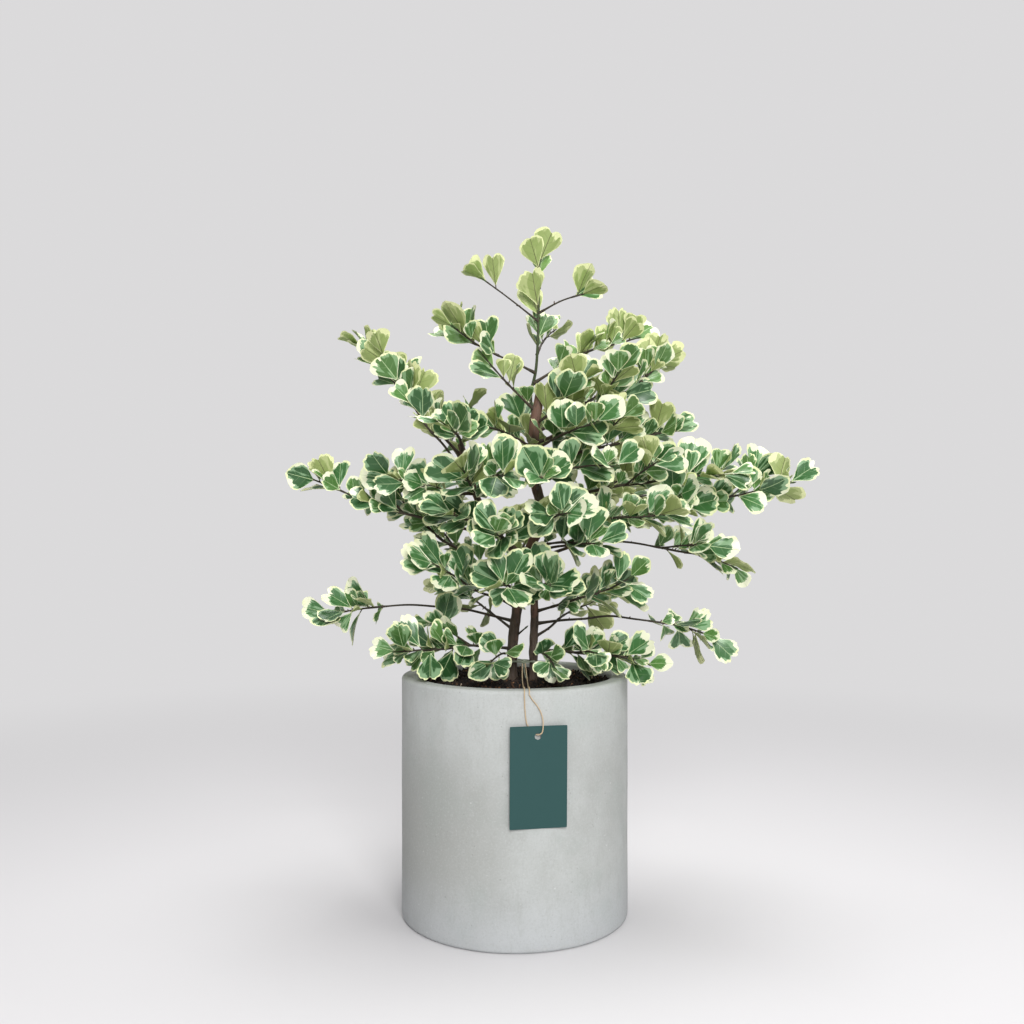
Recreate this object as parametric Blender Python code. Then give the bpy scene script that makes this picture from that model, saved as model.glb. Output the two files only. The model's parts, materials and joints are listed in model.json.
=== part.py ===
# A potted rubber plant of the small, triangle-leaved kind, with cream-edged leaves,
# in a plain round concrete pot with a card tag on a string.
# Metres, +Z up. The origin is on the floor under the middle of the pot, and the front is -Y.

import math
import random
from collections import namedtuple

import bmesh
import bpy
from mathutils import Matrix, Vector
from mathutils.bvhtree import BVHTree

TOUCH_GAP = 0.0003  # between pieces that touch

# Pot
POT_RADIUS = 0.150
POT_HEIGHT = 0.315
POT_WALL = 0.022
POT_FLOOR = 0.026
RIM_ROUND = 0.0045
FOOT_ROUND = 0.005
POT_SIDES = 40

# Soil
SOIL_TOP = POT_HEIGHT - 0.0085
SOIL_MOUND = 0.0012
SOIL_RINGS = (0.33, 0.7, 1.0)
SOIL_SIDES = 20  # half the pot's, so that their corners meet

# Stems: the points that each passes through, from its foot in the soil, and its radius at foot and top
Stem = namedtuple("Stem", "name points foot_radius top_radius")
STEMS = (
    Stem(
        "stem_main",
        (
            (-0.003, 0.005, 0.240), (-0.003, 0.005, 0.345), (0.003, 0.006, 0.400),
            (0.009, 0.008, 0.450), (0.024, 0.009, 0.490), (0.037, 0.006, 0.527),
            (0.026, 0.001, 0.580), (0.026, 0.000, 0.640), (0.034, 0.000, 0.690),
        ),
        0.0064,
        0.0064,
    ),
    Stem(
        "stem_second",
        (
            (0.026, -0.003, 0.240), (0.025, -0.004, 0.345), (0.0265, -0.004, 0.400),
            (0.022, -0.006, 0.445), (0.008, -0.009, 0.472), (-0.022, -0.008, 0.500),
            (-0.045, -0.008, 0.538), (-0.060, -0.010, 0.580), (-0.072, -0.012, 0.622),
        ),
        0.0058,
        0.0040,
    ),
)
STEM_SIDES = 8
STEM_STEP = 0.024

# Sprays: what each grows from and at what height, where its tip is, how far its middle arches over
# the straight line, its radius at the root, its leaves, their length, the bare share, and its side twigs
Spray = namedtuple("Spray", "name carrier height tip arch radius leaves size bare forks")
SPRAYS = (
    Spray("leader", "stem_main", 0.652, (0.034, 0.000, 0.898), 0.0, 0.0030, 14, 0.049, 0.42, 0),
    Spray("spray_top_left", "leader", 0.786, (-0.040, -0.020, 0.836), 0.000, 0.0015, 4, 0.051, 0.74, 0),
    Spray("spray_top_right", "leader", 0.797, (0.098, -0.020, 0.820), 0.004, 0.0015, 5, 0.047, 0.66, 0),
    Spray("spray_high_left", "leader", 0.718, (-0.080, -0.030, 0.772), -0.004, 0.0018, 8, 0.049, 0.42, 1),
    Spray("spray_high_right", "leader", 0.704, (0.166, 0.026, 0.768), 0.010, 0.0020, 9, 0.049, 0.40, 0),
    Spray("spray_high_back", "leader", 0.742, (0.058, 0.090, 0.792), 0.004, 0.0017, 7, 0.047, 0.30, 0),
    Spray("spray_shoulder_left", "stem_main", 0.664, (-0.044, -0.034, 0.738), -0.006, 0.0020, 8, 0.047, 0.35, 0),
    Spray("spray_shoulder_right", "stem_main", 0.648, (0.088, -0.052, 0.700), -0.004, 0.0020, 8, 0.049, 0.35, 0),
    Spray("spray_upper_right", "stem_main", 0.622, (0.194, -0.030, 0.728), -0.010, 0.0027, 9, 0.049, 0.45, 2),
    Spray("spray_upper_left_long", "stem_second", 0.600, (-0.207, 0.020, 0.756), 0.000, 0.0023, 9, 0.047, 0.50, 1),
    Spray("spray_upper_left", "stem_second", 0.576, (-0.170, -0.044, 0.732), -0.010, 0.0021, 9, 0.047, 0.45, 1),
    Spray("spray_rosette_left", "stem_second", 0.610, (-0.078, -0.088, 0.632), 0.004, 0.0025, 9, 0.052, 0.35, 0),
    Spray("spray_mid_left", "stem_second", 0.556, (-0.162, -0.050, 0.576), -0.006, 0.0023, 9, 0.051, 0.40, 1),
    Spray("spray_left_long", "stem_second", 0.503, (-0.264, -0.020, 0.573), -0.010, 0.0025, 11, 0.047, 0.50, 1),
    Spray("spray_left_rising", "stem_main", 0.446, (-0.180, 0.004, 0.580), -0.026, 0.0023, 9, 0.049, 0.40, 1),
    Spray("spray_left_low_mid", "stem_main", 0.402, (-0.104, -0.060, 0.464), -0.004, 0.0020, 9, 0.051, 0.45, 0),
    Spray("spray_left_low_arch", "stem_main", 0.384, (-0.250, 0.026, 0.392), 0.016, 0.0021, 7, 0.050, 0.72, 0),
    Spray("spray_left_low_fan", "stem_main", 0.348, (-0.150, -0.066, 0.352), 0.004, 0.0020, 10, 0.049, 0.35, 1),
    Spray("spray_front_low_left", "stem_main", 0.341, (-0.034, -0.110, 0.340), 0.006, 0.0017, 7, 0.043, 0.30, 0),
    Spray("spray_front_low_right", "stem_second", 0.343, (0.050, -0.112, 0.336), 0.008, 0.0017, 7, 0.043, 0.30, 0),
    Spray("spray_right_low_fan", "stem_second", 0.346, (0.170, -0.066, 0.336), 0.006, 0.0020, 10, 0.049, 0.35, 1),
    Spray("spray_right_low_arch", "stem_second", 0.382, (0.264, 0.026, 0.364), 0.016, 0.0021, 8, 0.051, 0.72, 0),
    Spray("spray_right_low_mid", "stem_second", 0.398, (0.148, -0.058, 0.446), -0.004, 0.0020, 9, 0.051, 0.40, 0),
    Spray("spray_right_drop", "stem_main", 0.474, (0.300, 0.030, 0.456), 0.024, 0.0021, 6, 0.049, 0.66, 1),
    Spray("spray_right_long", "stem_main", 0.458, (0.370, 0.000, 0.570), 0.012, 0.0027, 13, 0.047, 0.50, 2),
    Spray("spray_right_level", "stem_main", 0.545, (0.280, -0.040, 0.580), 0.006, 0.0025, 11, 0.049, 0.45, 1),
    Spray("spray_right_mid", "stem_main", 0.590, (0.226, -0.010, 0.640), 0.004, 0.0025, 10, 0.051, 0.38, 1),
    Spray("spray_front_right_mid", "stem_main", 0.500, (0.196, -0.070, 0.528), 0.004, 0.0021, 9, 0.051, 0.40, 0),
    Spray("spray_front_right_low", "stem_main", 0.484, (0.104, -0.086, 0.490), 0.004, 0.0021, 9, 0.052, 0.35, 0),
    Spray("spray_fan_left", "stem_main", 0.424, (-0.016, -0.098, 0.438), 0.004, 0.0020, 8, 0.052, 0.45, 0),
    Spray("spray_fan_right", "stem_second", 0.422, (0.046, -0.098, 0.436), 0.004, 0.0020, 8, 0.052, 0.45, 0),
    Spray("spray_centre_low", "stem_main", 0.512, (0.066, -0.118, 0.528), 0.004, 0.0020, 9, 0.052, 0.35, 0),
    Spray("spray_centre_left", "stem_second", 0.485, (-0.024, -0.112, 0.502), 0.004, 0.0020, 9, 0.052, 0.35, 0),
    Spray("spray_centre", "stem_main", 0.560, (0.034, -0.110, 0.570), 0.004, 0.0020, 9, 0.052, 0.30, 0),
    Spray("spray_centre_right", "stem_main", 0.575, (0.126, -0.096, 0.586), 0.006, 0.0021, 9, 0.052, 0.35, 0),
    Spray("spray_centre_high", "stem_main", 0.612, (0.104, -0.080, 0.642), 0.004, 0.0021, 9, 0.051, 0.35, 0),
    Spray("spray_mid_front_left", "stem_second", 0.540, (-0.064, -0.100, 0.582), 0.002, 0.0020, 9, 0.052, 0.35, 0),
    Spray("spray_low_front_left", "stem_second", 0.508, (-0.082, -0.070, 0.528), 0.002, 0.0020, 8, 0.051, 0.35, 0),
    Spray("spray_inner_left", "stem_second", 0.578, (-0.010, -0.104, 0.572), 0.004, 0.0020, 8, 0.052, 0.40, 0),
    Spray("spray_inner_high", "stem_main", 0.616, (-0.046, -0.066, 0.642), 0.002, 0.0020, 7, 0.047, 0.40, 0),
    Spray("spray_back_low_left", "stem_main", 0.372, (-0.112, 0.168, 0.430), 0.006, 0.0021, 8, 0.051, 0.45, 0),
    Spray("spray_back_low_right", "stem_second", 0.364, (0.146, 0.166, 0.412), 0.006, 0.0021, 8, 0.051, 0.45, 0),
    Spray("spray_back_left", "stem_second", 0.524, (-0.146, 0.176, 0.566), 0.006, 0.0023, 8, 0.051, 0.40, 1),
    Spray("spray_back", "stem_main", 0.432, (0.020, 0.214, 0.520), 0.006, 0.0023, 9, 0.051, 0.40, 1),
    Spray("spray_back_right", "stem_main", 0.532, (0.206, 0.166, 0.560), 0.006, 0.0023, 8, 0.051, 0.40, 1),
    Spray("spray_back_high_left", "stem_second", 0.584, (-0.128, 0.130, 0.676), 0.004, 0.0021, 9, 0.049, 0.40, 1),
    Spray("spray_back_high", "stem_main", 0.602, (0.012, 0.166, 0.672), 0.004, 0.0021, 9, 0.049, 0.40, 1),
    Spray("spray_back_high_right", "stem_main", 0.634, (0.136, 0.124, 0.704), 0.004, 0.0021, 9, 0.049, 0.40, 1),
    Spray("spray_stub_left", "stem_main", 0.362, (0.0135, -0.002, 0.3755), 0.0, 0.0016, 1, 0.020, 0.90, 0),
)
# Where a twig leaves its straight way to the tip: the leader grows from the side of the old cut stem
BENDS = {"leader": ((0.0215, 0.0120, 0.686), (0.0285, 0.0070, 0.722), (0.0310, 0.0020, 0.762))}
TWIG_SIDES = 4
LEADER_SIDES = 6  # it carries sprays of its own
TWIG_STEP = 0.034
TWIG_TIP_RADIUS = 0.0010
TWIG_WANDER = 0.0022
FORK_LENGTH = 0.062
FORK_LEAVES = 3
FORK_RADIUS = 0.0014

# Leaves, all as shares of the leaf's length from the twig
LEAF_THICK = 0.0008
LEAF_CORNER = 0.68
LEAF_HALF_WIDTH = 0.42
LEAF_LOBE = 0.56  # of the half width
LEAF_NOTCH = 0.89
SMALL_CORNER = 0.90
SMALL_LEAF = 0.041  # leaves under this length have one corner on each side, not two
LEAF_TURN = math.radians(137.5)  # from one leaf to the next round the twig
LEAF_TRIES = 26
LEAF_SHRINK_AFTER = 9
LEAF_SHRINK = 0.82
LEAF_MARGIN = 0.0007
# How far leaves stand out of their twig: sideways, upwards, downwards and ahead
LEAF_SIDEWAYS = 0.8
LEAF_UPWARDS = 0.9
LEAF_DOWNWARDS = 0.65
LEAF_AHEAD = 0.55
LEAF_AHEAD_AT_TIP = 1.45

# Height over which leaves go from hanging out and down to reaching up
LOW_CROWN = 0.36
HIGH_CROWN = 0.80
LOW_LIFT = -0.05
HIGH_LIFT = 1.05
# From this share of the crown up, more and more leaves turn their undersides to the front
MIXED_CROWN = 0.35
UNDER_SHARE = 0.75
UNDER_TURN = -0.8
BACK_SPRAY = 0.06  # sprays whose tips are further back than this turn their leaves outwards

# Tag and its string
TAG_WIDTH = 0.070
TAG_HEIGHT = 0.123
TAG_THICK = 0.0008
TAG_CORNER = 0.0010
TAG_BOTTOM = 0.1505
TAG_SIDE = 0.0277  # how far its middle is to the right
TAG_LEAN = 0.0028  # how much further its top stands off the pot
TAG_HOLE_RADIUS = 0.0040
TAG_HOLE_DROP = 0.0125
TAG_HOLE_SIDE = -0.001
STRING_RADIUS = 0.0008
STRING_STEP = 0.0105
TIE_RADIUS = 0.0015
TIE_HEIGHT = 0.333
TIE_SLACK = 0.0022
TIE_SWING = (0.0075, 0.0015)  # how much further out it hangs at its left and at its right
TIE_DROOP = (0.0095, 0.0140)  # how much lower it hangs there
TIE_SIDES = 4
KNOT_RADIUS = 0.0034
KNOT_PLACE = (0.0120, -0.0104, 0.3320)
TAIL_RADIUS = 0.0011
TAIL_SIDES = 6
TAIL = ((0.0120, -0.0106, 0.3310), (0.0128, -0.0114, 0.3200), (0.0148, -0.0108, 0.3102))


def clear_scene():
    for old in list(bpy.data.objects):
        bpy.data.objects.remove(old, do_unlink=True)


def finish(name, colour, roughness):
    material = bpy.data.materials.new(name)
    material.use_nodes = True
    shader = material.node_tree.nodes["Principled BSDF"]
    shader.inputs["Base Color"].default_value = (*colour, 1.0)
    shader.inputs["Roughness"].default_value = roughness
    shader.inputs["Metallic"].default_value = 0.0
    material.diffuse_color = (*colour, 1.0)
    return material


def object_from(bm, name, material):
    mesh = bpy.data.meshes.new(name)
    bm.to_mesh(mesh)
    bm.free()
    made = bpy.data.objects.new(name, mesh)
    bpy.context.scene.collection.objects.link(made)
    made.data.materials.append(material)
    return made


def round_off(made, degrees=35):
    made.data.shade_smooth()
    made.data.set_sharp_from_angle(angle=math.radians(degrees))


def as_cutter(made):
    made.hide_render = True
    made.display_type = "WIRE"


def cut(made, cutter):
    as_cutter(cutter)
    boolean = made.modifiers.new(cutter.name, "BOOLEAN")
    boolean.operation = "DIFFERENCE"
    boolean.object = cutter


def arc(centre, radius, start, end, steps):
    """Points (r, z) of an arc from start to end, in degrees."""
    for i in range(steps + 1):
        angle = math.radians(start + (end - start) * i / steps)
        yield centre[0] + radius * math.cos(angle), centre[1] + radius * math.sin(angle)


def turned(name, profile, sides, material):
    bm = bmesh.new()
    points = [bm.verts.new((r, 0.0, z)) for r, z in profile]
    edges = [bm.edges.new(pair) for pair in zip(points, points[1:])]
    bmesh.ops.spin(
        bm, geom=points + edges, cent=(0, 0, 0), axis=(0, 0, 1), angle=math.tau, steps=sides
    )
    bmesh.ops.remove_doubles(bm, verts=bm.verts, dist=1e-5)
    bmesh.ops.recalc_face_normals(bm, faces=bm.faces)
    return object_from(bm, name, material)


def make_pot():
    inside = POT_RADIUS - POT_WALL
    profile = [(0.0, 0.0)]
    profile += arc((POT_RADIUS - FOOT_ROUND, FOOT_ROUND), FOOT_ROUND, -90, 0, 1)
    profile += arc((POT_RADIUS - RIM_ROUND, POT_HEIGHT - RIM_ROUND), RIM_ROUND, 0, 90, 2)
    profile += arc((inside + RIM_ROUND, POT_HEIGHT - RIM_ROUND), RIM_ROUND, 90, 180, 2)
    profile += [(inside, POT_FLOOR), (0.0, POT_FLOOR)]
    pot = turned("pot", profile, POT_SIDES, finish("concrete", (0.50, 0.53, 0.50), 0.75))
    round_off(pot)
    return pot


def make_soil(stems):
    draw = random.Random("soil")
    radius = POT_RADIUS - POT_WALL - TOUCH_GAP
    bottom = POT_FLOOR + TOUCH_GAP
    bm = bmesh.new()
    turns = [math.tau * i / SOIL_SIDES for i in range(SOIL_SIDES)]
    rings = []
    for share in SOIL_RINGS:
        lift = [draw.uniform(-SOIL_MOUND, SOIL_MOUND) for _ in turns]
        rings.append([
            bm.verts.new((share * radius * math.cos(a), share * radius * math.sin(a), SOIL_TOP + up))
            for a, up in zip(turns, lift)
        ])
    rings.append([bm.verts.new((radius * math.cos(a), radius * math.sin(a), bottom)) for a in turns])
    middle = bm.verts.new((0.0, 0.0, SOIL_TOP))
    for i in range(SOIL_SIDES):
        j = (i + 1) % SOIL_SIDES
        bm.faces.new((middle, rings[0][i], rings[0][j]))
        for inner, outer in zip(rings, rings[1:]):
            bm.faces.new((inner[i], outer[i], outer[j]))
            bm.faces.new((inner[i], outer[j], inner[j]))
    bm.faces.new(rings[-1])
    bmesh.ops.recalc_face_normals(bm, faces=bm.faces)
    soil = object_from(bm, "soil", finish("soil", (0.021, 0.013, 0.011), 0.95))
    for stem in stems:
        hole = tube(f"hole_{stem.name}", stem.route, [r + TOUCH_GAP for r in stem.radii], STEM_SIDES, None)
        hole.location.z = -TOUCH_GAP  # clear under the foot too
        cut(soil, hole)
    return soil


def smooth_route(points, step):
    """Points about a step apart along a smooth curve through the given points."""
    points = [Vector(point) for point in points]
    ends = [2 * points[0] - points[1], *points, 2 * points[-1] - points[-2]]
    route = [points[0]]
    for before, a, b, after in zip(ends, ends[1:], ends[2:], ends[3:]):
        parts = max(1, round((b - a).length / step))
        for i in range(1, parts + 1):
            t = i / parts
            route.append(0.5 * (
                2 * a + (b - before) * t
                + (2 * before - 5 * a + 4 * b - after) * t ** 2
                + (3 * a - before - 3 * b + after) * t ** 3
            ))
    return route


def directions(route):
    ahead = [(b - a).normalized() for a, b in zip(route, route[1:])]
    return [ahead[0], *((a + b).normalized() for a, b in zip(ahead, ahead[1:])), ahead[-1]]


def rings_along(route, radii, sides):
    """Rings of points round the route, each turned as little as can be from the one before."""
    rings = []
    side = Vector((0, -1, 0)) if abs(directions(route)[0].y) < 0.9 else Vector((1, 0, 0))
    for point, ahead, radius in zip(route, directions(route), radii):
        side = (side - ahead * side.dot(ahead)).normalized()
        over = ahead.cross(side)
        rings.append([
            point + radius * (math.cos(a) * side + math.sin(a) * over)
            for a in (math.tau * k / sides for k in range(sides))
        ])
    return rings


def tube_faces(count, sides):
    faces = []
    for i in range(count - 1):
        for k in range(sides):
            a, b = i * sides + k, i * sides + (k + 1) % sides
            faces.append((a, b, b + sides, a + sides))
    last = (count - 1) * sides
    faces += [(0, k + 1, k) for k in range(1, sides - 1)]
    faces += [(last, last + k, last + k + 1) for k in range(1, sides - 1)]
    return faces


def tube(name, route, radii, sides, material, rings=None):
    rings = rings or rings_along(route, radii, sides)
    mesh = bpy.data.meshes.new(name)
    mesh.from_pydata([p for ring in rings for p in ring], [], tube_faces(len(rings), sides))
    made = bpy.data.objects.new(name, mesh)
    bpy.context.scene.collection.objects.link(made)
    made.data.materials.append(material)
    return made


class Wood:
    """A stem or twig: its route, its radius along it, and how many sides it has."""

    def __init__(self, name, route, start, end, sides):
        self.name = name
        self.route = route
        self.sides = sides
        lengths = [0.0]
        for a, b in zip(route, route[1:]):
            lengths.append(lengths[-1] + (b - a).length)
        self.shares = [length / lengths[-1] for length in lengths]
        self.radii = [start + (end - start) * share for share in self.shares]

    def at(self, share):
        """Place, direction and radius at a share of the length."""
        for i in range(len(self.route) - 1):
            if share <= self.shares[i + 1] or i == len(self.route) - 2:
                t = (share - self.shares[i]) / (self.shares[i + 1] - self.shares[i])
                place = self.route[i].lerp(self.route[i + 1], t)
                ahead = (self.route[i + 1] - self.route[i]).normalized()
                return place, ahead, self.radii[i] + (self.radii[i + 1] - self.radii[i]) * t

    def at_height(self, z):
        for i in range(len(self.route) - 1):
            a, b = self.route[i], self.route[i + 1]
            if a.z <= z <= b.z:
                t = (z - a.z) / (b.z - a.z)
                return a.lerp(b, t), self.radii[i] + (self.radii[i + 1] - self.radii[i]) * t
        raise ValueError(f"{self.name} does not reach height {z}")

    def distance(self, point):
        """How far a point is outside the bark, less than zero inside."""
        nearest = 1.0
        for i in range(len(self.route) - 1):
            a, b = self.route[i], self.route[i + 1]
            t = (point - a).dot(b - a) / (b - a).length_squared
            t = min(1.0, max(0.0, t))
            radius = self.radii[i] + (self.radii[i + 1] - self.radii[i]) * t
            nearest = min(nearest, (point - a.lerp(b, t)).length - radius)
        return nearest

    def solid(self, name, material, margin=0.0, carrier=None):
        """The tube, its root ring drawn back until it clears what carries it."""
        rings = rings_along(self.route, [r + margin for r in self.radii], self.sides)
        if carrier:
            rings[0] = seated(rings[0], self.route[0], self.route[1] - self.route[0], carrier)
        return tube(name, self.route, None, self.sides, material, rings)


def seated(ring, middle, heading, carrier):
    """The flat root ring moved ahead until all of it is a touching gap clear of the carrier's bark."""
    step = heading.normalized() * 0.0001
    across = list(zip(ring, ring[1:] + ring[:1]))
    samples = [middle, *ring, *((a + b) / 2 for a, b in across), *((a + middle) / 2 for a in ring)]
    moved = 0
    while min(carrier.distance(point + step * moved) for point in samples) < TOUCH_GAP:
        moved += 1
    return [point + step * moved for point in ring]


def spray_route(spray, carriers):
    """From the middle of the carrier to the tip, arched, with a small zigzag from joint to joint."""
    draw = random.Random(spray.name)
    root, _ = carriers[spray.carrier].at_height(spray.height)
    if spray.name in BENDS:
        return smooth_route((root, *BENDS[spray.name], spray.tip), TWIG_STEP)
    tip = Vector(spray.tip)
    parts = max(1, round((tip - root).length / TWIG_STEP))
    route = []
    for i in range(parts + 1):
        t = i / parts
        point = root.lerp(tip, t)
        point.z += 4 * spray.arch * t * (1 - t)
        wander = Vector([draw.uniform(-TWIG_WANDER, TWIG_WANDER) for _ in range(3)])
        route.append(point + wander * (1 if 0 < i < parts else 0))
    return route


def fork_route(twig, spray, number):
    """A short side twig, which alternates from side to side and rises a little."""
    draw = random.Random(f"{spray.name} fork {number}")
    place, ahead, _ = twig.at(spray.bare * 0.85 + 0.28 * number + 0.08)
    side = Vector((-ahead.y, ahead.x, 0)).normalized() * (1 if number % 2 else -1)
    heading = (ahead * 0.75 + side * draw.uniform(0.7, 1.0) + Vector((0, 0, draw.uniform(-0.1, 0.5))))
    length = FORK_LENGTH * draw.uniform(0.8, 1.15)
    bend = Vector((0, 0, 0.006))
    heading.normalize()
    return [place, place + heading * length * 0.5 + bend, place + heading * length + bend * 1.4]


Leaf = namedtuple("Leaf", "root along across face length half fold curl notch skew small")


def twig_leaf(spray, twig, part, index, share, attempt):
    """One try at a leaf: it leaves the twig at its own turn, and its face looks up, out and to the light."""
    draw = random.Random(f"{spray.name} {part} {index} {attempt}")
    place, ahead, _ = twig.at(share)
    crown = min(1.0, max(0.0, (place.z - LOW_CROWN) / (HIGH_CROWN - LOW_CROWN)))
    side = Vector((-ahead.y, ahead.x, 0.0)).normalized()
    over = side.cross(ahead) * -1
    turn = index * LEAF_TURN + draw.uniform(-0.7, 0.7)
    rise = math.sin(turn)
    up_or_down = LEAF_UPWARDS if rise > 0 else LEAF_DOWNWARDS
    out = side * LEAF_SIDEWAYS * math.cos(turn) + over * rise * up_or_down
    forward = (LEAF_AHEAD_AT_TIP if share > 0.97 else LEAF_AHEAD) + draw.uniform(-0.15, 0.25)
    lift = LOW_LIFT + (HIGH_LIFT - LOW_LIFT) * crown + draw.uniform(-0.3, 0.3)
    along = (ahead * forward + out + Vector((0, 0, lift))).normalized()
    outward = Vector((place.x, place.y, 0.0))
    outward = outward.normalized() if outward.length > 0.03 else Vector((0, -1, 0))
    to_front = 1.0 if spray.tip[1] < BACK_SPRAY else 0.1
    under = draw.random() < UNDER_SHARE * (crown - MIXED_CROWN) / (1 - MIXED_CROWN)
    sunny = UNDER_TURN if under else 1.0
    face = Vector((0, -to_front * sunny, 0)) + outward * 0.3 * sunny + Vector((0, 0, 0.65))
    face += Vector([draw.uniform(-0.5, 0.5) for _ in range(3)])
    face = (face - along * face.dot(along)).normalized()
    length = spray.size * draw.uniform(0.80, 1.12) * (0.86 if share > 0.97 else 1.0)
    if attempt >= LEAF_SHRINK_AFTER:
        length *= LEAF_SHRINK
    return Leaf(
        place, along, along.cross(face), face, length,
        length * LEAF_HALF_WIDTH * draw.uniform(0.86, 1.1),
        draw.uniform(0.12, 0.5), draw.uniform(-0.05, 0.28),
        LEAF_NOTCH + draw.choice((0.0, 0.0, 0.0, 0.05, 0.13)),
        draw.uniform(-0.06, 0.06), length < SMALL_LEAF,
    )


def blade(leaf, grow=0.0):
    """Points and triangles of a folded, notched blade, both faces split alike."""
    right = [(LEAF_CORNER, leaf.half), (1.0, leaf.half * LEAF_LOBE)]
    if leaf.small:
        right = [(SMALL_CORNER, leaf.half)]
    outline = [(0.0, 0.0)]
    outline += [(share + leaf.skew, half + grow) for share, half in right]
    outline += [(leaf.notch, 0.0)]
    outline += [(share - leaf.skew, -half - grow) for share, half in reversed(right)]
    count = len(outline)
    points = []
    for level in (0.5, -0.5):
        for share, aside in outline:
            forward = share * leaf.length + (grow if share else 0.0)
            rise = leaf.fold * abs(aside) - leaf.curl * leaf.length * share ** 2
            rise += level * (LEAF_THICK + 2 * grow)
            points.append(leaf.root + leaf.along * forward + leaf.across * aside + leaf.face * rise)
    if leaf.small:
        upper = [(0, 1, 2), (0, 2, 3)]
    else:
        upper = [(0, 1, 5), (1, 3, 5), (1, 2, 3), (3, 4, 5)]
    faces = list(upper)
    faces += [(a + count, c + count, b + count) for a, b, c in upper]
    for i in range(count):
        j = (i + 1) % count
        faces.append((i + count, j + count, j, i))
    return points, faces


class Obstacle:
    """Something that a new leaf must clear."""

    def __init__(self, owner, points, faces):
        self.owner = owner
        self.tree = BVHTree.FromPolygons(points, faces)
        self.low = [min(point[k] for point in points) for k in range(3)]
        self.high = [max(point[k] for point in points) for k in range(3)]

    def meets(self, other):
        apart = any(self.low[k] > other.high[k] or other.low[k] > self.high[k] for k in range(3))
        return not apart and bool(self.tree.overlap(other.tree))


def obstacle_of(made, owner):
    graph = bpy.context.evaluated_depsgraph_get()
    mesh = made.evaluated_get(graph).to_mesh()
    points = [made.matrix_world @ vertex.co for vertex in mesh.vertices]
    faces = [tuple(polygon.vertices) for polygon in mesh.polygons]
    return Obstacle(owner, points, faces)


def place_leaves(spray, twigs, obstacles):
    """The leaves of one spray, each the first try that clears all that is there already."""
    leaves = []
    for part, twig in enumerate(twigs):
        count, bare = (spray.leaves, spray.bare) if part == 0 else (FORK_LEAVES, 0.45)
        for index in range(count):
            share = bare + (1 - bare) * (index + 0.75) / count if index < count - 1 else 0.99
            for attempt in range(LEAF_TRIES):
                leaf = twig_leaf(spray, twig, part, index, share, attempt)
                room = Obstacle(None, *blade(leaf, LEAF_MARGIN))
                if not any(room.meets(other) for other in obstacles if other.owner != spray.name):
                    obstacles.append(room)
                    leaves.append(leaf)
                    break
    return leaves


def make_spray(spray, twigs, leaves, carrier, material):
    """Twigs and leaves as one body."""
    body = twigs[0].solid(spray.name, material, carrier=carrier)
    grown = bpy.data.collections.new(f"{spray.name}_grown")
    bpy.context.scene.collection.children.link(grown)
    for twig in twigs[1:]:
        made = twig.solid(f"{spray.name}_twig", material)
        bpy.context.scene.collection.objects.unlink(made)
        grown.objects.link(made)
    for leaf in leaves:
        mesh = bpy.data.meshes.new(f"{spray.name}_leaf")
        mesh.from_pydata(*(blade(leaf)[0], [], blade(leaf)[1]))
        grown.objects.link(bpy.data.objects.new(mesh.name, mesh))
    union = body.modifiers.new("union", "BOOLEAN")
    union.operation = "UNION"
    union.operand_type = "COLLECTION"
    union.collection = grown
    graph = bpy.context.evaluated_depsgraph_get()
    joined = bpy.data.meshes.new_from_object(body.evaluated_get(graph))
    body.modifiers.clear()
    body.data = joined
    body.data.name = spray.name
    for made in list(grown.objects):
        bpy.data.objects.remove(made, do_unlink=True)
    bpy.data.collections.remove(grown)
    return body


def make_stems():
    bark = finish("bark", (0.085, 0.049, 0.036), 0.8)
    stems = []
    for stem in STEMS:
        route = smooth_route(stem.points, STEM_STEP)
        wood = Wood(stem.name, route, stem.foot_radius, stem.top_radius, STEM_SIDES)
        made = wood.solid(stem.name, bark)
        round_off(made)
        stems.append(wood)
    return stems


def pot_face(x, z, off):
    """A point in front of the pot's wall, off metres from it."""
    return Vector((x, -math.sqrt((POT_RADIUS + off) ** 2 - x ** 2), z))


def tag_frame():
    """The middle of the tag's bottom edge on its back face, and its directions across, up and outwards."""
    angle = math.asin(TAG_SIDE / POT_RADIUS)
    out = Vector((math.sin(angle), -math.cos(angle), 0.0))
    across = Vector((math.cos(angle), math.sin(angle), 0.0))
    foot = out * (POT_RADIUS + TOUCH_GAP) + Vector((0, 0, TAG_BOTTOM))
    up = (Vector((0, 0, TAG_HEIGHT)) + out * TAG_LEAN).normalized()
    return foot, across, up, across.cross(up)


def tag_point(aside, height, off):
    foot, across, up, out = tag_frame()
    return foot + across * aside + up * height + out * off


def make_tag():
    corners = []
    for sign_x, sign_z, start in ((1, 0, -90), (1, 1, 0), (-1, 1, 90), (-1, 0, 180)):
        centre = (
            sign_x * (TAG_WIDTH / 2 - TAG_CORNER),
            TAG_HEIGHT - TAG_CORNER if sign_z else TAG_CORNER,
        )
        corners += arc(centre, TAG_CORNER, start, start + 90, 4)
    bm = bmesh.new()
    front = [bm.verts.new(tag_point(x, z, TAG_THICK)) for x, z in corners]
    back = [bm.verts.new(tag_point(x, z, 0.0)) for x, z in corners]
    bm.faces.new(front)
    bm.faces.new(reversed(back))
    for i in range(len(corners)):
        j = (i + 1) % len(corners)
        bm.faces.new((front[i], back[i], back[j], front[j]))
    bmesh.ops.recalc_face_normals(bm, faces=bm.faces)
    tag = object_from(bm, "tag", finish("card", (0.042, 0.105, 0.100), 0.55))
    hole = [tag_point(TAG_HOLE_SIDE, TAG_HEIGHT - TAG_HOLE_DROP, off) for off in (-0.003, 0.004)]
    cut(tag, tube("tag_hole", hole, [TAG_HOLE_RADIUS] * 2, 24, None))
    return tag


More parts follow.
